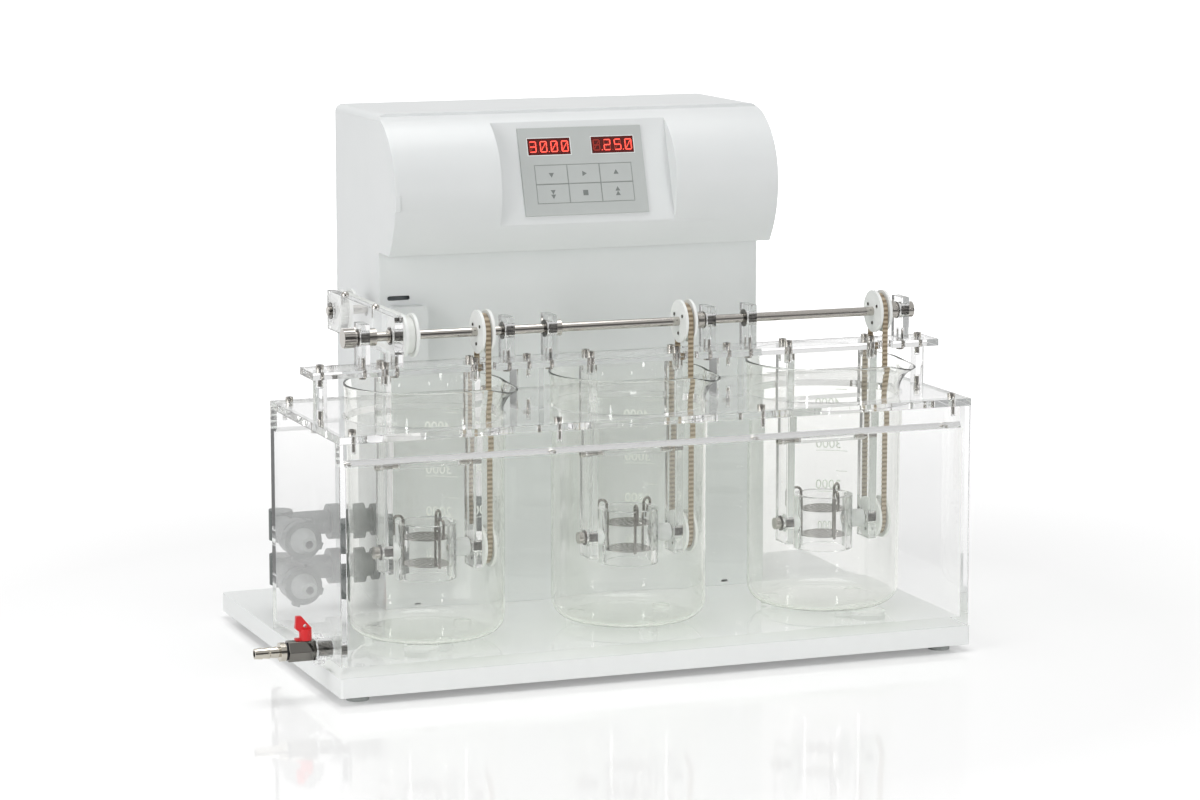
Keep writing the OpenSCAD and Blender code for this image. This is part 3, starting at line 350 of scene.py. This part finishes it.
def long_edges(form):
    """Edges that stand out and are long enough to be rounded over."""
    return [edge for edge in form.edges if edge.is_convex and edge.calc_length() > LONG_EDGE * MM
            and edge.calc_face_angle() > EDGE_ANGLE]


def outer_edges(form):
    """Long edges along the bath's twelve outer corners."""
    low, high = corners("tank_floor")
    high.z = corners("tank_end_walls")[1].z

    def on_corner(vert):
        sides = [abs(vert.co[i] - side[i]) < NEAR_PLANE * MM for i in range(3) for side in (low, high)]
        return sum(sides) > 1

    return [edge for edge in long_edges(form) if on_corner(edge.verts[0]) and on_corner(edge.verts[1])]


def eased(form, width, shrink, chosen=long_edges):
    """Rounds the chosen edges over, and draws all faces in a little."""
    bmesh.ops.dissolve_limit(form, angle_limit=FLAT_ANGLE, verts=form.verts, edges=form.edges)
    bmesh.ops.bevel(form, geom=chosen(form), offset=width * MM, offset_type="OFFSET", segments=2,
                    profile=0.5, affect="EDGES", clamp_overlap=False, material=-1)
    draw_in(form, shrink)
    return form


def keep_flat(made):
    """Shades the flat faces flat, so that only the rounded edges catch the light."""
    weighted = made.modifiers.new("flat faces stay flat", "WEIGHTED_NORMAL")
    weighted.keep_sharp = True


def ease(node, width, shrink):
    """Stands a copy with rounded edges in for a CAD piece."""
    form = eased(merged(node), width, shrink)
    keep_flat(piece(f"{node}_eased", form, body_of[node], slot_of[node], replaced=[node]))


def cement(name, nodes):
    """Boards cemented into one clear solid, so that light crosses their joints without a break.

    The first board is the floor, whose underside lies on white board and shows its colour."""
    boards = []
    for node in nodes:
        form = merged(node)
        mesh = bpy.data.meshes.new(node)
        form.to_mesh(mesh)
        form.free()
        boards.append(bpy.data.objects.new(node, mesh))
        scene.collection.objects.link(boards[-1])
    for board in boards[1:]:
        join = boards[0].modifiers.new("cement", "BOOLEAN")
        join.operation = "UNION"
        join.solver = "EXACT"
        join.object = board
    form = bmesh.new()
    form.from_object(boards[0], bpy.context.evaluated_depsgraph_get())
    for board in boards:
        bpy.data.objects.remove(board)
    bmesh.ops.remove_doubles(form, verts=form.verts, dist=JOIN_WELD * MM)
    eased(form, CLEAR_ROUND, AIR, outer_edges)
    underside = corners(nodes[0])[0].z + 2 * AIR * MM
    for face in form.faces:
        looks_down = face.normal.z < -0.9
        face.material_index = int(looks_down and face.calc_center_median().z < underside)
    materials = [finishes["clear_acrylic"], finishes["white_board"]]
    keep_flat(piece(name, form, "frame", "clear_acrylic", materials, replaced=nodes))


def turn_sleeve(k):
    """A clear sleeve, polished on its wall and frosted where its two bosses were turned."""
    node = f"sleeve_{k}"
    form = eased(merged(node), TURNED_ROUND, AIR)
    low, high = corners(node)
    boss = (high.y - low.y) / 2 - BOSS_ROOT * MM
    for face in form.faces:
        face.material_index = int(abs(face.calc_center_median().x - stations[k].x) > boss)
    materials = [finishes["clear_acrylic"], turned_acrylic]
    piece(f"{node}_turned", form, f"cell_{k}", "clear_acrylic", materials, replaced=[node])


def mould_couplings():
    """Bayonet couplings: a dark grey ring with lugs, and a pale nozzle in front of it."""
    node = "inlet_couplings"
    form = eased(merged(node), PAINT_ROUND, 0)
    nozzle_end = corners(node)[0].y + NOZZLE * MM
    for face in form.faces:
        face.material_index = int(face.calc_center_median().y < nozzle_end)
    piece(f"{node}_moulded", form, "frame", "grey_pvc", [finishes["grey_pvc"], nozzle_pvc], replaced=[node])


cement("bath_cemented", BATH_BOARDS)
for node, slot in slot_of.items():
    if slot == "clear_acrylic" and not node.startswith("sleeve") and node not in BATH_BOARDS:
        ease(node, CLEAR_ROUND, AIR)
for node in SHEET_PIECES:
    ease(node, PAINT_ROUND, 0)
mould_couplings()


# Glass beakers with their printed scale

BEAKER_WALL = 2.6
BEAKER_CORNER = 20
BEAKER_STEPS = 144
# The CAD rim's bead stands out by RIM_BEAD; the blown rim flares by RIM_FLARE over its last RIM_TALL.
RIM_BEAD = 2.2
RIM_FLARE = 1.6
RIM_TALL = 2
RIM_ROUND = 1.1
# The lip is drawn out over LIP_DEPTH of the wall. There the wall has a ring of points every LIP_RING,
# and the last one lies LIP_LAST_RING below the rim.
LIP_TURN = math.radians(-38)
LIP_SPREAD = math.radians(17)
LIP_REACH = 18
LIP_DROOP = 6
LIP_DEPTH = 36
LIP_RING = 4
LIP_LAST_RING = 8

LITRE_RISE = 46.9
# Height of the scale's zero above the beaker's bottom
SCALE_FOOT = 14
NUMBER_TALL = 10.6
NUMBER_WIDE = 29
NUMBER_ABOVE_MARK = 2.6
MARK_PAST = 8
MARK_WEIGHT = 0.7
HALF_MARK = 14
INK = 0.12
INK_OFF_GLASS = 0.02
SCALE_TURN = math.radians(61.7)
# Share of the letter height by which the print is bolder than the font
BOLDER = 0.006


def beaker_size(k):
    """A beaker's radius without its rim, and the heights of its bottom and rim."""
    low, high = corners(f"beaker_{k}")
    return (high.x - low.x) / 2 - RIM_BEAD * MM, low.z, high.z


def blow_beaker(k):
    """Low-form beaker: rounded corner, thin wall, flared fire-polished rim and one drawn-out lip."""
    radius, bottom, top = beaker_size(k)
    rim_radius = radius + RIM_FLARE * MM
    form = bmesh.new()
    profile = [(0, bottom), (radius, bottom)]
    profile += [(radius, top - depth * MM) for depth in range(LIP_DEPTH, LIP_LAST_RING - 1, -LIP_RING)]
    profile += [(rim_radius, top - RIM_TALL * MM), (rim_radius, top)]
    line = [form.verts.new((stations[k].x + out, stations[k].y, height)) for out, height in profile]
    for pair in zip(line, line[1:]):
        form.edges.new(pair)
    bmesh.ops.bevel(form, geom=[line[1]], offset=BEAKER_CORNER * MM, offset_type="OFFSET", segments=8,
                    profile=0.5, affect="VERTICES", material=-1)
    bmesh.ops.spin(form, geom=form.verts[:] + form.edges[:], cent=(stations[k].x, stations[k].y, 0),
                   axis=(0, 0, 1), angle=2 * math.pi, steps=BEAKER_STEPS, use_merge=True,
                   use_duplicate=False)
    bmesh.ops.remove_doubles(form, verts=form.verts, dist=SPIN_WELD * MM)
    bmesh.ops.recalc_face_normals(form, faces=form.faces)
    bmesh.ops.solidify(form, geom=form.faces[:], thickness=BEAKER_WALL * MM)
    rim = [edge for edge in form.edges if min(vert.co.z for vert in edge.verts) > top - NEAR_PLANE * MM
           and edge.calc_face_angle(0) > EDGE_ANGLE]
    bmesh.ops.bevel(form, geom=rim, offset=RIM_ROUND * MM, offset_type="OFFSET", segments=4, profile=0.5,
                    affect="EDGES", clamp_overlap=False, material=-1)
    draw_lip(form, stations[k], top)
    piece(f"beaker_{k}_blown", form, "frame", "beaker_glass", replaced=[f"beaker_{k}"], crease=60)


def draw_lip(form, axis, top):
    """Draws the rim outwards and down at the lip, less and less down the wall and to both sides."""
    for vert in form.verts:
        up = max(0, (vert.co.z - top) / (LIP_DEPTH * MM) + 1)
        if up == 0:
            continue
        out = vert.co.xy - axis.xy
        aside = math.remainder(math.atan2(out.y, out.x) - LIP_TURN, 2 * math.pi) / LIP_SPREAD
        drawn = math.exp(-abs(aside) ** 3) * up * up
        vert.co.xy += out.normalized() * LIP_REACH * MM * drawn
        vert.co.z -= LIP_DROOP * MM * drawn


def flat_number(text):
    """A number as a thin mesh that starts at the origin, drawn to the size of the beakers' print."""
    data = bpy.data.curves.new("number", "FONT")
    data.body = text
    data.offset = BOLDER
    data.resolution_u = 4
    holder = bpy.data.objects.new("number", data)
    scene.collection.objects.link(holder)
    drawn = holder.evaluated_get(bpy.context.evaluated_depsgraph_get())
    mesh = bpy.data.meshes.new_from_object(drawn)
    bpy.data.objects.remove(holder)
    xs = [vert.co.x for vert in mesh.vertices]
    ys = [vert.co.y for vert in mesh.vertices]
    wide = NUMBER_WIDE * MM / (max(xs) - min(xs))
    tall = NUMBER_TALL * MM / (max(ys) - min(ys))
    mesh.transform(Matrix.Diagonal((wide, tall, 1, 1)) @ Matrix.Translation((-min(xs), -min(ys), 0)))
    return mesh


def stroke(form, start, end, height):
    """A level printed line between two places along the glass."""
    made = bmesh.ops.create_grid(form, x_segments=12, y_segments=1, size=0.5)["verts"]
    bmesh.ops.scale(form, verts=made, vec=((end - start) * MM, MARK_WEIGHT * MM, 1))
    bmesh.ops.translate(form, verts=made, vec=((start + end) / 2 * MM, height * MM, 0))


def print_scale(k):
    """Numbers and marks for each litre, printed on the glass at the back and read from behind."""
    radius, bottom = beaker_size(k)[:2]
    form = bmesh.new()
    for litres in (1, 2, 3, 4):
        height = SCALE_FOOT + litres * LITRE_RISE
        mesh = flat_number(f"{litres}000")
        mesh.transform(Matrix.Translation((0, (height + NUMBER_ABOVE_MARK) * MM, 0)))
        form.from_mesh(mesh)
        bpy.data.meshes.remove(mesh)
        stroke(form, -MARK_PAST, NUMBER_WIDE, height)
        stroke(form, -MARK_PAST, HALF_MARK - MARK_PAST, height + LITRE_RISE / 2)
    bmesh.ops.solidify(form, geom=form.faces[:], thickness=-INK * MM)
    for vert in form.verts:
        turn = SCALE_TURN + (vert.co.x - NUMBER_WIDE / 2 * MM) / radius
        out = radius + INK_OFF_GLASS * MM + abs(vert.co.z)
        vert.co = Vector((stations[k].x + out * math.cos(turn), stations[k].y + out * math.sin(turn),
                          bottom + vert.co.y))
    bmesh.ops.recalc_face_normals(form, faces=form.faces)
    piece(f"beaker_{k}_scale", form, "frame", "white_plastic", [scale_print])


for k in CELLS:
    turn_sleeve(k)
    blow_beaker(k)
    print_scale(k)


# Keypad: displays and keys

PANEL_IN = Vector(joints["key_1_press"]["axis"]).normalized()
PANEL_OUT = -PANEL_IN
PANEL_UP = Vector((0, PANEL_OUT.z, -PANEL_OUT.y))
WINDOW_WIDE = 50.5
WINDOW_TALL = 19
# Thickness of the print and of the display segments
PRINT = 0.06
# Lines round a display lie half of WINDOW_MARGIN outside it.
WINDOW_MARGIN = 0.9
WINDOW_LINE = 0.8
KEY_WIDE = 38.6
KEY_TALL = 22
KEY_LINE = 0.5

DIGIT_WIDE = 8.4
DIGIT_TALL = 12.8
DIGIT_PITCH = 12.7
BAR = 1.15
BAR_GAP = 0.3
BAR_POINT = 0.42 * BAR
DOT_POINT = 0.3 * BAR
SLASH = 0.8
# Display segments by letter: a on top, then clockwise to f, and g across the middle
SIDE_X = (DIGIT_WIDE - BAR) / 2
SIDE_Y = (DIGIT_TALL - BAR) / 4
SEGMENTS = {"a": (0, 2, False), "b": (1, 1, True), "c": (1, -1, True), "d": (0, -2, False),
            "e": (-1, -1, True), "f": (-1, 1, True), "g": (0, 0, False)}
NUMERALS = {"0": "abcdef", "2": "abdeg", "3": "abcdg", "5": "acdfg", " ": ""}
# A zero's slash lies on the digit's diagonal and is seven tenths as long.
SLASH_LONG = 1.4 * math.hypot(SIDE_X, 2 * SIDE_Y)
SLASH_LEAN = math.atan2(SIDE_X, 2 * SIDE_Y)
# Displays by side: their digits, and the places that are followed by a lit point
DISPLAYS = {-1: ("3000", (1,)), 1: (" 250", (0, 2))}

# Signs by key: number of corners, way it points, how far up it stands, and its reach
UP, RIGHT, DOWN, LEVEL = 0, -90, 180, 45
SIGNS = {1: [(3, DOWN, 0, 3.6)], 2: [(3, RIGHT, 0, 3.6)], 3: [(3, UP, 0, 3.6)],
         4: [(3, DOWN, 2.6, 3.4), (3, DOWN, -2.6, 3.4)], 5: [(4, LEVEL, 0, 4.3)],
         6: [(3, UP, 2.6, 3.4), (3, UP, -2.6, 3.4)]}


def panel_face(node):
    """Matrix from x across, y up and z out of a tilted panel piece, with the middle of its face as origin."""
    low, high = corners(node)
    rise, lean = PANEL_UP.z, PANEL_UP.y
    deep = ((high.y - low.y) * rise - (high.z - low.z) * lean) / (rise * rise - lean * lean)
    axes = Matrix((Vector((1, 0, 0)), PANEL_UP, PANEL_OUT)).transposed().to_4x4()
    return Matrix.Translation((low + high) / 2 + PANEL_OUT * deep / 2) @ axes


def window_aside():
    """How far each display's middle lies from the panel's, in millimetres."""
    low, high = corners("display_windows")
    return ((high.x - low.x) / MM - WINDOW_WIDE) / 2


def bar(form, middle, length, weight, upright=False, pointed=0.0, lean=0.0):
    """A thin printed or lit bar: level, upright or leaning, with pointed ends on a display segment."""
    made = set(bmesh.ops.create_cube(form, size=1)["verts"])
    size = (weight, length) if upright else (length, weight)
    bmesh.ops.scale(form, verts=list(made), vec=(size[0] * MM, size[1] * MM, PRINT * MM))
    bmesh.ops.rotate(form, verts=list(made), matrix=Matrix.Rotation(-lean, 3, "Z"))
    bmesh.ops.translate(form, verts=list(made), vec=(middle[0] * MM, middle[1] * MM, PRINT / 2 * MM))
    if pointed:
        posts = [edge for edge in form.edges if edge.verts[0] in made and edge.verts[1] in made
                 and abs(edge.verts[0].co.z - edge.verts[1].co.z) > PRINT / 2 * MM]
        bmesh.ops.bevel(form, geom=posts, offset=pointed * MM, offset_type="OFFSET", segments=1, profile=0.5,
                        affect="EDGES", material=-1)


def frame_lines(form, middle, wide, tall, weight):
    """Four printed lines round a rectangle."""
    for side in (-1, 1):
        bar(form, (middle[0], middle[1] + side * tall / 2), wide + weight, weight)
        bar(form, (middle[0] + side * wide / 2, middle[1]), tall - weight, weight, upright=True)


def draw_digit(digit, x, point, lit, dark):
    """One digit of a display: each segment, the slash and the point go to the lit or the dark form."""
    for letter, (across, up, upright) in SEGMENTS.items():
        form = lit if letter in NUMERALS[digit] else dark
        length = 2 * (SIDE_Y if upright else SIDE_X) - BAR_GAP
        bar(form, (x + across * SIDE_X, up * SIDE_Y), length, BAR, upright, BAR_POINT)
    bar(lit if digit == "0" else dark, (x, 0), SLASH_LONG, SLASH, upright=True, lean=SLASH_LEAN)
    bar(lit if point else dark, (x + DIGIT_PITCH / 2, -2 * SIDE_Y), BAR, BAR, pointed=DOT_POINT)


def light_displays():
    """Two red displays of four digits: time on the left, temperature on the right."""
    lit, dark = bmesh.new(), bmesh.new()
    for side, (digits, points) in DISPLAYS.items():
        for place, digit in enumerate(digits):
            x = side * window_aside() + (place - 1.5) * DIGIT_PITCH
            draw_digit(digit, x, place in points, lit, dark)
    face = panel_face("display_windows")
    for kind, form, material in (("lit", lit, lit_segment), ("dark", dark, unlit_segment_glow)):
        bmesh.ops.transform(form, matrix=face, verts=form.verts)
        piece(f"display_digits_{kind}", form, "frame", "display_window", [material])


def print_keypad():
    """Printed lines: white round each display, dark grey round the keys."""
    face = panel_face("keypad_panel")
    to_panel = face.inverted()
    window_y = (to_panel @ panel_face("display_windows").translation).y / MM
    form = bmesh.new()
    for side in (-1, 1):
        frame_lines(form, (side * window_aside(), window_y), WINDOW_WIDE + WINDOW_MARGIN,
                    WINDOW_TALL + WINDOW_MARGIN, WINDOW_LINE)
    bmesh.ops.transform(form, matrix=face, verts=form.verts)
    piece("display_outlines", form, "frame", "white_plastic", [white_print])
    form = bmesh.new()
    key_rows = [(to_panel @ panel_face(f"key_{i}").translation).y / MM for i in (1, 4)]
    middle = sum(key_rows) / 2
    for row in (-1, 0, 1):
        bar(form, (0, middle + row * KEY_TALL), 3 * KEY_WIDE + KEY_LINE, KEY_LINE)
    for column in (-1.5, -0.5, 0.5, 1.5):
        bar(form, (column * KEY_WIDE, middle), 2 * KEY_TALL, KEY_LINE, upright=True)
    bmesh.ops.transform(form, matrix=face, verts=form.verts)
    piece("key_outlines", form, "frame", "keypad_foil", [line_print])


def print_sign(i):
    """A key's sign, printed on the foil and moving with the key."""
    form = bmesh.new()
    for sides, way, up, reach in SIGNS[i]:
        place = Matrix.Translation((0, up * MM, 0)) @ Matrix.Rotation(math.radians(way), 4, "Z")
        bmesh.ops.create_cone(form, cap_ends=True, cap_tris=False, segments=sides, radius1=reach * MM,
                              radius2=reach * MM, depth=PRINT * MM, matrix=place)
    bmesh.ops.transform(form, matrix=panel_face(f"key_{i}"), verts=form.verts)
    piece(f"key_{i}_sign", form, f"key_{i}_pad", "keypad_foil", [key_print])


light_displays()
print_keypad()
for i in SIGNS:
    print_sign(i)


# Small fasteners and seals

# Screws stand on a circle of this radius round a pulley's axis, and each has a round socket.
SCREW_CIRCLE = 13.2
SCREW_TURNS = (60, 180, 300)
SCREW_RADIUS = 1.7
SCREW_SIDES = 20
SCREW_TALL = 0.8
SCREW_OUT = 0.3
SOCKET_WALL = 0.7
SOCKET_DEEP = 0.5
SEAL_FROM_TAIL = 34.25
SEAL_RING = 8.4
SEAL_THICK = 1.2
DRAIN_BODY = 21


def screw_head(form, place, side):
    """A round screw head that points along x to this side, with a socket sunk in its face."""
    turned = place @ Matrix.Rotation(side * math.pi / 2, 4, "Y")
    head = bmesh.ops.create_cone(form, cap_ends=True, cap_tris=False, segments=SCREW_SIDES,
                                 radius1=SCREW_RADIUS * MM, radius2=SCREW_RADIUS * MM,
                                 depth=SCREW_TALL * MM, matrix=turned)["verts"]
    outer = max(head, key=lambda vert: vert.co.x * side)
    cap = [face for face in outer.link_faces if len(face.verts) == SCREW_SIDES]
    bmesh.ops.inset_region(form, faces=cap, thickness=SOCKET_WALL * MM)
    bmesh.ops.translate(form, verts=cap[0].verts, vec=(-side * SOCKET_DEEP * MM, 0, 0))


def screw_flanges(name, body, axes, faces):
    """Dark screws on both sides of each pulley, on a circle round its axis."""
    form = bmesh.new()
    for axis, (left, right) in zip(axes, faces):
        for x, side in ((left, -1), (right, 1)):
            middle = Matrix.Translation((x + side * SCREW_OUT * MM, axis.y, axis.z))
            for turn in SCREW_TURNS:
                around = Matrix.Rotation(math.radians(turn), 4, "X")
                screw_head(form, middle @ around @ Matrix.Translation((0, 0, SCREW_CIRCLE * MM)), side)
    piece(name, form, body, "bush_steel")


def plate_drain():
    """Drain valve: a chromed body darkened with painted shade, and a hose tail that shows its warmer nickel."""
    node = "drain_valve"
    form = eased(merged(node), TURNED_ROUND, 0)
    tail_end = corners(node)[0].x + SEAL_FROM_TAIL * MM
    for face in form.faces:
        face.material_index = int(face.calc_center_median().x > tail_end)
    materials = [finishes["nickel_brass"], valve_chrome_painted_dark]
    piece(f"{node}_plated", form, "frame", "nickel_brass", materials, replaced=[node])


def seal_drain():
    """Black rubber ring in the groove between the drain valve's body and its hose tail."""
    low = corners("drain_valve")[0]
    axis = Vector(joints["drain_lever_turn"]["pos_m"])
    middle = Vector((low.x + SEAL_FROM_TAIL * MM, axis.y, low.z + DRAIN_BODY / 2 * MM))
    form = bmesh.new()
    upper = Matrix.Translation(middle + Vector((0, 0, SEAL_RING * MM)))
    bmesh.ops.create_circle(form, segments=16, radius=SEAL_THICK * MM,
                            matrix=upper @ Matrix.Rotation(math.pi / 2, 4, "X"))
    bmesh.ops.spin(form, geom=form.verts[:] + form.edges[:], cent=middle, axis=(1, 0, 0),
                   angle=2 * math.pi, steps=48, use_merge=True, use_duplicate=False)
    bmesh.ops.recalc_face_normals(form, faces=form.faces)
    piece("drain_seal", form, "frame", "black_plastic")


pulley_faces = {}
for k in CELLS:
    low, high = corners(f"cell_pulley_{k}")
    pulley_faces[k] = (low.x, high.x)
screw_flanges("shaft_pulley_screws", "shaft", [shaft_at] * len(CELLS), pulley_faces.values())
for k in CELLS:
    screw_flanges(f"cell_{k}_pulley_screws", f"cell_{k}", [stations[k]], [pulley_faces[k]])
plate_drain()
seal_drain()


# Studio, laid out in metres along the camera's level direction and across it

AHEAD = (math.sin(CAMERA_YAW), math.cos(CAMERA_YAW), 0)
ASIDE = (math.cos(CAMERA_YAW), -math.sin(CAMERA_YAW), 0)
FLOOR_HALF = 40
FLOOR_LOW = 0.2 * MM
# The floor keeps the object's shadow near the middle, and is lifted to white between these distances.
LIFT_FROM, LIFT_TO = 0.7, 3.0
LIFT_NEAR, LIFT_FAR = 0.2, 0.9
# Metal and glass see a darker floor in front of the object, and partly at both sides.
FRONT_FROM, FRONT_TO = -0.5, -0.9
SIDE_FROM, SIDE_TO = 0.55, 0.85
SIDE_SHARE = 0.35
# Walls by the cosine from the camera's direction: a white one ahead, greyer sides and a dark one behind
AHEAD_FROM, AHEAD_FULL = 0.5, 0.85
BEHIND_FROM, BEHIND_FULL = -0.5, -0.75
# The dark wall fades out upwards between these sines of the height angle.
BEHIND_TOP, BEHIND_END = 0.3, 0.5
WHITE, GREY_SIDES = 1.0, 0.8
# Level of the dark wall as metal mirrors it and as clear pieces bend it, and of the light on all surfaces
DARK_MIRRORED, DARK_BENT = 0.1, 0.4
EVEN_LIGHT = 0.36
LAMPS_AIM = Vector((0, 0, 0.3))
LIGHT_BOUNCES = 32


def studio_floor():
    """White floor sheet with a slight shine: white ahead, and darker elsewhere to metal and glass."""
    material, tree, shader = surface("white_studio_floor", Base_Color=linear("#F0F0F0"), Roughness=0.05,
                                     IOR=1.35)
    where = add(tree, "ShaderNodeTexCoord").outputs["Object"]
    rays = add(tree, "ShaderNodeLightPath").outputs
    bent = add(tree, "ShaderNodeMath", {0: rays["Is Glossy Ray"], 1: rays["Is Transmission Ray"]},
               operation="ADD", use_clamp=True).outputs[0]
    seen = add(tree, "ShaderNodeMath", {0: rays["Is Camera Ray"], 1: bent}, operation="ADD",
               use_clamp=True).outputs[0]
    distance = add(tree, "ShaderNodeVectorMath", {0: where}, operation="LENGTH").outputs["Value"]
    white = add(tree, "ShaderNodeMapRange", {"Value": distance, "From Min": LIFT_FROM, "From Max": LIFT_TO,
                                             "To Min": LIFT_NEAR, "To Max": LIFT_FAR}).outputs["Result"]
    lift = add(tree, "ShaderNodeMath", {0: seen, 1: white}, operation="MULTIPLY").outputs[0]
    glow = add(tree, "ShaderNodeEmission", {"Strength": lift}).outputs[0]
    lifted = add(tree, "ShaderNodeAddShader", {0: shader.outputs[0], 1: glow}).outputs[0]
    depth = add(tree, "ShaderNodeVectorMath", {0: where, 1: AHEAD}, operation="DOT_PRODUCT").outputs["Value"]
    front = add(tree, "ShaderNodeMapRange", {"Value": depth, "From Min": FRONT_FROM,
                                             "From Max": FRONT_TO}).outputs["Result"]
    across = add(tree, "ShaderNodeVectorMath", {0: where, 1: ASIDE}, operation="DOT_PRODUCT").outputs["Value"]
    off_middle = add(tree, "ShaderNodeMath", {0: across}, operation="ABSOLUTE").outputs[0]
    side = add(tree, "ShaderNodeMapRange", {"Value": off_middle, "From Min": SIDE_FROM, "From Max": SIDE_TO,
                                            "To Max": SIDE_SHARE}).outputs["Result"]
    either = add(tree, "ShaderNodeMath", {0: front, 1: side}, operation="MAXIMUM").outputs[0]
    share = add(tree, "ShaderNodeMath", {0: either, 1: bent}, operation="MULTIPLY").outputs[0]
    dark = add(tree, "ShaderNodeBsdfDiffuse", {"Color": linear("#8A8A8A")}).outputs[0]
    show(tree, add(tree, "ShaderNodeMixShader", {0: share, 1: lifted, 2: dark}).outputs[0])
    return material


def set_stage():
    """Floor as wide as every view needs, a hair below the feet."""
    form = bmesh.new()
    bmesh.ops.create_grid(form, x_segments=1, y_segments=1, size=FLOOR_HALF)
    mesh = bpy.data.meshes.new("floor")
    form.to_mesh(mesh)
    form.free()
    mesh.materials.append(studio_floor())
    floor = bpy.data.objects.new("floor", mesh)
    floor.location.z = -FLOOR_LOW
    scene.collection.objects.link(floor)
    return floor


def all_but(thing):
    """A set of what a lamp lights: everything except this one thing."""
    lit = bpy.data.collections.new(f"all_but_{thing.name}")
    lit.objects.link(thing)
    lit.collection_objects[0].light_linking.link_state = "EXCLUDE"
    return lit


def set_world():
    """White wall ahead, greyer sides, a dark wall behind the camera, and even light on all surfaces.

    Polished metal mirrors the darker walls, and the clear edges bend them into view."""
    world = bpy.data.worlds.new("studio")
    scene.world = world
    world.use_nodes = True
    tree = world.node_tree
    tree.nodes.clear()
    rays = add(tree, "ShaderNodeLightPath").outputs
    way = add(tree, "ShaderNodeTexCoord").outputs["Generated"]
    depth = add(tree, "ShaderNodeVectorMath", {0: way, 1: AHEAD}, operation="DOT_PRODUCT").outputs["Value"]
    height = add(tree, "ShaderNodeSeparateXYZ", {0: way}).outputs["Z"]
    walls = add(tree, "ShaderNodeMapRange", {"Value": depth, "From Min": AHEAD_FROM, "From Max": AHEAD_FULL,
                                             "To Min": GREY_SIDES, "To Max": WHITE},
                interpolation_type="SMOOTHSTEP").outputs["Result"]
    behind = add(tree, "ShaderNodeMapRange", {"Value": depth, "From Min": BEHIND_FULL,
                                              "From Max": BEHIND_FROM, "To Min": 1.0, "To Max": 0.0},
                 interpolation_type="SMOOTHSTEP").outputs["Result"]
    low = add(tree, "ShaderNodeMapRange", {"Value": height, "From Min": BEHIND_TOP, "From Max": BEHIND_END,
                                           "To Min": 1.0, "To Max": 0.0},
              interpolation_type="SMOOTHSTEP").outputs["Result"]
    dark = add(tree, "ShaderNodeMath", {0: behind, 1: low}, operation="MULTIPLY").outputs[0]
    level = add(tree, "ShaderNodeMix", {"Factor": rays["Is Transmission Ray"], "A": DARK_MIRRORED,
                                        "B": DARK_BENT}).outputs["Result"]
    room = add(tree, "ShaderNodeMix", {"Factor": dark, "A": walls, "B": level}).outputs["Result"]
    bent = add(tree, "ShaderNodeMath", {0: rays["Is Glossy Ray"], 1: rays["Is Transmission Ray"]},
               operation="ADD", use_clamp=True).outputs[0]
    soft = add(tree, "ShaderNodeMix", {"Factor": bent, "A": EVEN_LIGHT, "B": room}).outputs["Result"]
    strength = add(tree, "ShaderNodeMix", {"Factor": rays["Is Camera Ray"], "A": soft, "B": WHITE})
    light = add(tree, "ShaderNodeBackground", {"Strength": strength.outputs["Result"]})
    add(tree, "ShaderNodeOutputWorld", {"Surface": light.outputs[0]})


def add_softbox(name, at, size, watts, mirrored=False, bent=False, lights=None):
    """A softbox turned to the object, which metal may mirror and the clear pieces may bend into view."""
    data = bpy.data.lights.new(name, "AREA")
    data.shape = "RECTANGLE"
    data.size, data.size_y = size
    data.energy = watts
    lamp = bpy.data.objects.new(name, data)
    lamp.location = at
    lamp.rotation_euler = (LAMPS_AIM - Vector(at)).to_track_quat("-Z", "Y").to_euler()
    lamp.visible_camera = False
    lamp.visible_glossy = mirrored
    lamp.visible_transmission = bent
    lamp.light_linking.receiver_collection = lights
    scene.collection.objects.link(lamp)


off_floor = all_but(set_stage())
set_world()
add_softbox("front_softbox", (0.8, -3.4, 0.45), (1.5, 1.5), 37)
add_softbox("left_softbox", (-3.0, -0.9, 1.3), (2.0, 2.0), 40, mirrored=True)
add_softbox("top_softbox", (0.0, 0.2, 4.5), (3.2, 3.2), 105, mirrored=True)
# Two narrow strips draw bright lines on glass and steel, and leave no streak on the floor.
add_softbox("left_strip", (-2.6, -2.7, 0.9), (0.2, 1.0), 6, mirrored=True, bent=True, lights=off_floor)
add_softbox("right_strip", (2.2, -3.0, 0.9), (0.2, 1.0), 6, mirrored=True, bent=True, lights=off_floor)

scene.view_settings.view_transform = "Standard"
# Light passes both walls of the bath, a beaker and a sleeve, and runs to and fro inside the boards.
scene.cycles.max_bounces = LIGHT_BOUNCES
scene.cycles.transmission_bounces = LIGHT_BOUNCES
scene.cycles.transparent_max_bounces = LIGHT_BOUNCES
scene.cycles.glossy_bounces = LIGHT_BOUNCES
scene.cycles.diffuse_bounces = 4
